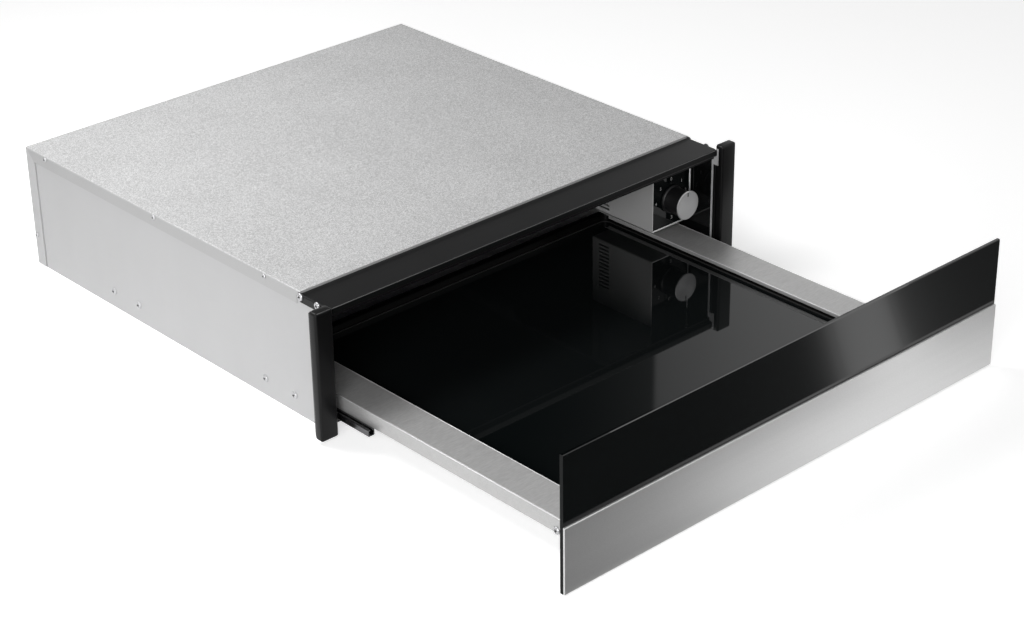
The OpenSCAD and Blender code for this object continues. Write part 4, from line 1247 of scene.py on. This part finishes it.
CLOTHES = {
    "spangled_cover": ["top_cover"],
    "zinc_side": ["left_side_panel", "right_side_panel", "back_panel", "base_pan"],
    "zinc_small": ["front_brackets", "heater_clips", "latch_catch"],
    "band_steel": ["front_steel_band"],
    "channel_steel": ["drawer_left_channel", "drawer_right_channel"],
    "box_sheet": ["control_box"],
    "spun_cap": ["knob_cap"],
    "black_frame_coat": ["top_rail", "bottom_rail", "left_post", "right_post", "drawer_front_rail",
                         "front_backing"],
    "black_cavity": ["cavity_ceiling", "cavity_left_wall", "cavity_right_wall"],
    "rear_sheet": ["cavity_rear_wall"],
    "black_tray": ["tray_pan", "drawer_rear_rail"],
    "floor_glass": ["glass_floor"],
    "panel_glass": ["front_glass"],
    "dial_glass": ["control_face"],
    "rail_zinc": ["left_fixed_rail", "right_fixed_rail", "left_drawer_rail", "right_drawer_rail"],
    "runner_steel": ["left_middle_rail", "right_middle_rail"],
    "screw_zinc": ["switch_spindle", "latch_spring", "cover_screws", "frame_screws",
                     "post_screws", "runner_screws", "back_screws", "skirt_screws"],
    "element_steel": ["heating_element"],
    "black_moulding": ["knob_body", "thermostat_switch", "fan_frame", "fan_motor", "fan_rotor",
                       "thermal_cutout", "cable_gland"],
    "white_acetal": ["cabinet_glides", "left_middle_glides", "right_middle_glides",
                     "drawer_glides", "latch_housing", "latch_plunger"],
    "dark_seal": ["glass_seal"],
    "glazed_ceramic": ["terminal_block"],
    "mineral_wool": ["ceiling_insulation"],
}


# Studio


def lying(low_x: float, high_x: float, low_y: float, high_y: float) -> tuple[Point, ...]:
    """Corners of a card that lies just over the floor.

    Args:
        low_x: its left side.
        high_x: its right side.
        low_y: its front side.
        high_y: its rear side.

    Returns:
        The corners.
    """
    return ((low_x, low_y, CARD_LIFT), (high_x, low_y, CARD_LIFT),
            (high_x, high_y, CARD_LIFT), (low_x, high_y, CARD_LIFT))


def standing_at(y: float, low_x: float, high_x: float, low_z: float, high_z: float) -> tuple[Point, ...]:
    """Corners of a card that stands across the view.

    Args:
        y: where it stands.
        low_x: its left side.
        high_x: its right side.
        low_z: its lower side.
        high_z: its upper side.

    Returns:
        The corners.
    """
    return (low_x, y, low_z), (high_x, y, low_z), (high_x, y, high_z), (low_x, y, high_z)


@dataclass(frozen=True)
class Card:
    """A glowing studio card that only mirrors see, with tones that change along one direction: its glow
    paints reflections, light and dark, on the shiny surfaces that mirror it.
    """

    name: str
    corners: tuple[Point, ...]
    along: Point
    tones: tuple[tuple[float, float], ...]

    def build(self) -> Piece:
        """Hangs or lays the card.

        Returns:
            The card.
        """
        card = mesh_object(self.name, lambda g: g.faces.new([g.verts.new(c) for c in self.corners]))
        dress(card, self.material())
        for kind in ("camera", "diffuse", "shadow", "transmission", "volume_scatter"):
            setattr(card, "visible_" + kind, False)
        return card

    def ramp(self, nodes: bpy.types.Nodes, top: float) -> bpy.types.Node:
        """Makes the curve that gives the card's tone at each share of its length.

        Args:
            nodes: the material's nodes.
            top: the brightest tone, which is 1 on the curve.

        Returns:
            The curve's node.
        """
        start, end = self.tones[0][0], self.tones[-1][0]
        ramp = nodes.new("ShaderNodeFloatCurve")
        curve = ramp.mapping.curves[0]
        spots = [((spot - start) / (end - start), tone / top) for spot, tone in self.tones]
        for where in spots[1:-1]:
            curve.points.new(*where)
        curve.points[0].location, curve.points[-1].location = spots[0], spots[-1]
        ramp.mapping.update()
        return ramp

    def material(self) -> Material:
        """Builds the card's glow: a ramp of grey tones over a distance in metres.

        Returns:
            The material.
        """
        material, nodes, links = bare_material(self.name)
        place, share = nodes.new("ShaderNodeTexCoord"), nodes.new("ShaderNodeVectorMath")
        share.operation = "DOT_PRODUCT"
        share.inputs[1].default_value = self.along
        links.new(place.outputs["Object"], share.inputs[0])
        reach = nodes.new("ShaderNodeMapRange")
        reach.inputs["From Min"].default_value = self.tones[0][0]
        reach.inputs["From Max"].default_value = self.tones[-1][0]
        links.new(share.outputs["Value"], reach.inputs["Value"])
        top = max(tone for _, tone in self.tones)
        ramp = self.ramp(nodes, top)
        links.new(reach.outputs["Result"], ramp.inputs["Value"])
        strength = nodes.new("ShaderNodeMath")
        strength.operation = "MULTIPLY"
        strength.inputs[1].default_value = top
        links.new(ramp.outputs["Value"], strength.inputs[0])
        glow, out = nodes.new("ShaderNodeEmission"), nodes.new("ShaderNodeOutputMaterial")
        links.new(strength.outputs[0], glow.inputs["Strength"])
        links.new(glow.outputs[0], out.inputs["Surface"])
        return material


@dataclass(frozen=True)
class Lamp:
    """One soft rectangular lamp: its place, what it points at, width and height, and watts."""

    name: str
    spot: Point
    aim: Point
    size: tuple[float, float]
    watts: float

    def build(self) -> None:
        """Hangs the lamp."""
        light = bpy.data.lights.new(self.name, "AREA")
        light.shape, light.size, light.size_y = "RECTANGLE", *self.size
        light.energy = self.watts
        lamp = bpy.data.objects.new(self.name, light)
        lamp.location = self.spot
        lamp.rotation_mode = "QUATERNION"
        lamp.rotation_quaternion = (Vector(self.aim) - Vector(self.spot)).to_track_quat("-Z", "Y")
        bpy.context.scene.collection.objects.link(lamp)


LAMPS = (
    Lamp("key_box", (-0.35, 0.26, 1.0), (-0.05, 0.0, 0.1), (0.5, 0.5), 7.4),
    Lamp("left_box", (-1.75, -1.42, 0.75), (0.0, -0.2, 0.1), (1.2, 1.2), 29.0),
    Lamp("right_box", (1.7, -1.6, 1.9), (0.1, -0.5, 0.1), (1.0, 1.0), 5.0),
)

CARDS = (
    Card("panel_card", lying(-0.5, 0.75, -0.9, -0.705), (0.741, 0.671, 0.0),
         ((-0.8, 0.04), (-0.62, 0.05), (-0.42, 0.11), (-0.385, 0.16), (-0.345, 0.8), (-0.305, 1.35),
          (-0.275, 0.8), (-0.245, 0.3), (-0.2, 0.17), (-0.1, 0.12))),
    Card("band_card", lying(-0.5, 0.75, -0.705, -0.625), (1.0, 0.0, 0.0),
         ((-0.5, 0.15), (-0.25, 0.26), (0.0, 0.9), (0.15, 1.1), (0.35, 0.85), (0.75, 0.7))),
    Card("right_card", lying(0.28, 0.6, -0.62, -0.425), (1.0, 0.0, 0.0), ((0.28, 0.05), (0.6, 0.06))),
    Card("back_card", standing_at(0.725, 0.2, 1.75, 0.6, 1.3), (1.0, 0.0, 0.0),
         ((0.2, 0.06), (1.2, 0.075), (1.215, 0.37), (1.33, 0.5), (1.49, 0.66), (1.75, 0.85))),
)


@dataclass
class Studio:
    """White studio: floor, soft lamps, cards for the mirrors and the photograph's camera."""

    floor_half: float = 14.0
    floor_tone: float = 0.86
    floor_glow: float = 0.62
    world_light: float = 0.11
    lens: float = 83.5895
    camera_spot: Point = (-1.46948, -1.85437, 1.16787)
    camera_right: Point = (0.73609, -0.67675, -0.01364)
    camera_back: Point = (-0.59533, -0.65685, 0.46275)

    def white_world(self) -> None:
        """A white surround for the camera and reflections, and a plain grey one as light."""
        world = bpy.data.worlds.new("studio")
        bpy.context.scene.world = world
        world.use_nodes = True
        nodes, links = world.node_tree.nodes, world.node_tree.links
        nodes.clear()
        seen = self.seen_directly(nodes, links)
        mix, out = nodes.new("ShaderNodeMixShader"), nodes.new("ShaderNodeOutputWorld")
        links.new(seen, mix.inputs[0])
        for place, strength in ((1, self.world_light), (2, 1.0)):
            shade = nodes.new("ShaderNodeBackground")
            shade.inputs["Color"].default_value = (1.0, 1.0, 1.0, 1.0)
            shade.inputs["Strength"].default_value = strength
            links.new(shade.outputs[0], mix.inputs[place])
        links.new(mix.outputs[0], out.inputs["Surface"])

    def seen_directly(self, nodes: bpy.types.Nodes, links: bpy.types.NodeLinks) -> Socket:
        """One where a ray comes from the camera, a mirror or clear glass.

        Args:
            nodes: the tree's nodes.
            links: the tree's links.

        Returns:
            The mask.
        """
        path = nodes.new("ShaderNodeLightPath")
        first, second = nodes.new("ShaderNodeMath"), nodes.new("ShaderNodeMath")
        first.operation = second.operation = "MAXIMUM"
        links.new(path.outputs["Is Camera Ray"], first.inputs[0])
        links.new(path.outputs["Is Glossy Ray"], first.inputs[1])
        links.new(first.outputs[0], second.inputs[0])
        links.new(path.outputs["Is Transmission Ray"], second.inputs[1])
        return second.outputs[0]

    def floor(self) -> None:
        """A pale floor that reads white and still holds a soft shadow."""
        half = self.floor_half
        corners = ((-half, -half), (half, -half), (half, half), (-half, half))
        plane = mesh_object("studio_floor",
                            lambda g: g.faces.new([g.verts.new((x, y, 0.0)) for x, y in corners]))
        material, nodes, links = bare_material("studio_floor")
        matt, glow = nodes.new("ShaderNodeBsdfDiffuse"), nodes.new("ShaderNodeEmission")
        matt.inputs["Color"].default_value = (*(self.floor_tone,) * 3, 1.0)
        glow.inputs["Strength"].default_value = self.floor_glow
        lit, pick = nodes.new("ShaderNodeAddShader"), nodes.new("ShaderNodeMixShader")
        out = nodes.new("ShaderNodeOutputMaterial")
        links.new(matt.outputs[0], lit.inputs[0])
        links.new(glow.outputs[0], lit.inputs[1])
        links.new(self.seen_directly(nodes, links), pick.inputs[0])
        links.new(matt.outputs[0], pick.inputs[1])
        links.new(lit.outputs[0], pick.inputs[2])
        links.new(pick.outputs[0], out.inputs["Surface"])
        dress(plane, material)

    def camera(self) -> None:
        """The camera solved from the photograph."""
        data = bpy.data.cameras.new("photo_camera")
        data.lens, data.sensor_width, data.sensor_fit = self.lens, 36.0, "HORIZONTAL"
        data.clip_start, data.clip_end = 0.05, 60.0
        camera = bpy.data.objects.new("photo_camera", data)
        back = Vector(self.camera_back).normalized()
        up = back.cross(Vector(self.camera_right)).normalized()
        turn = Matrix((up.cross(back), up, back)).transposed().to_4x4()
        camera.matrix_world = Matrix.Translation(self.camera_spot) @ turn
        bpy.context.scene.collection.objects.link(camera)
        bpy.context.scene.camera = camera

    def build(self) -> None:
        """Sets the whole studio."""
        self.camera()
        self.white_world()
        self.floor()
        for prop in (*CARDS, *LAMPS):
            prop.build()
        bpy.context.scene.view_settings.view_transform = "Standard"


def main() -> None:
    """Builds the studio, the finishes and the sub-assemblies in order."""
    logging.basicConfig(level=logging.INFO, format="%(message)s")
    Studio().build()
    finishes = Finishes().build()
    for name, nodes in CLOTHES.items():
        for node in nodes:
            dress(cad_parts[node], finishes[name])
    for assembly in (Cabinet(finishes), Drawer(finishes)):
        for piece in assembly.build():
            LOG.info("%s: %d faces", piece.name, len(piece.data.polygons))


if __name__ == "__main__":
    main()
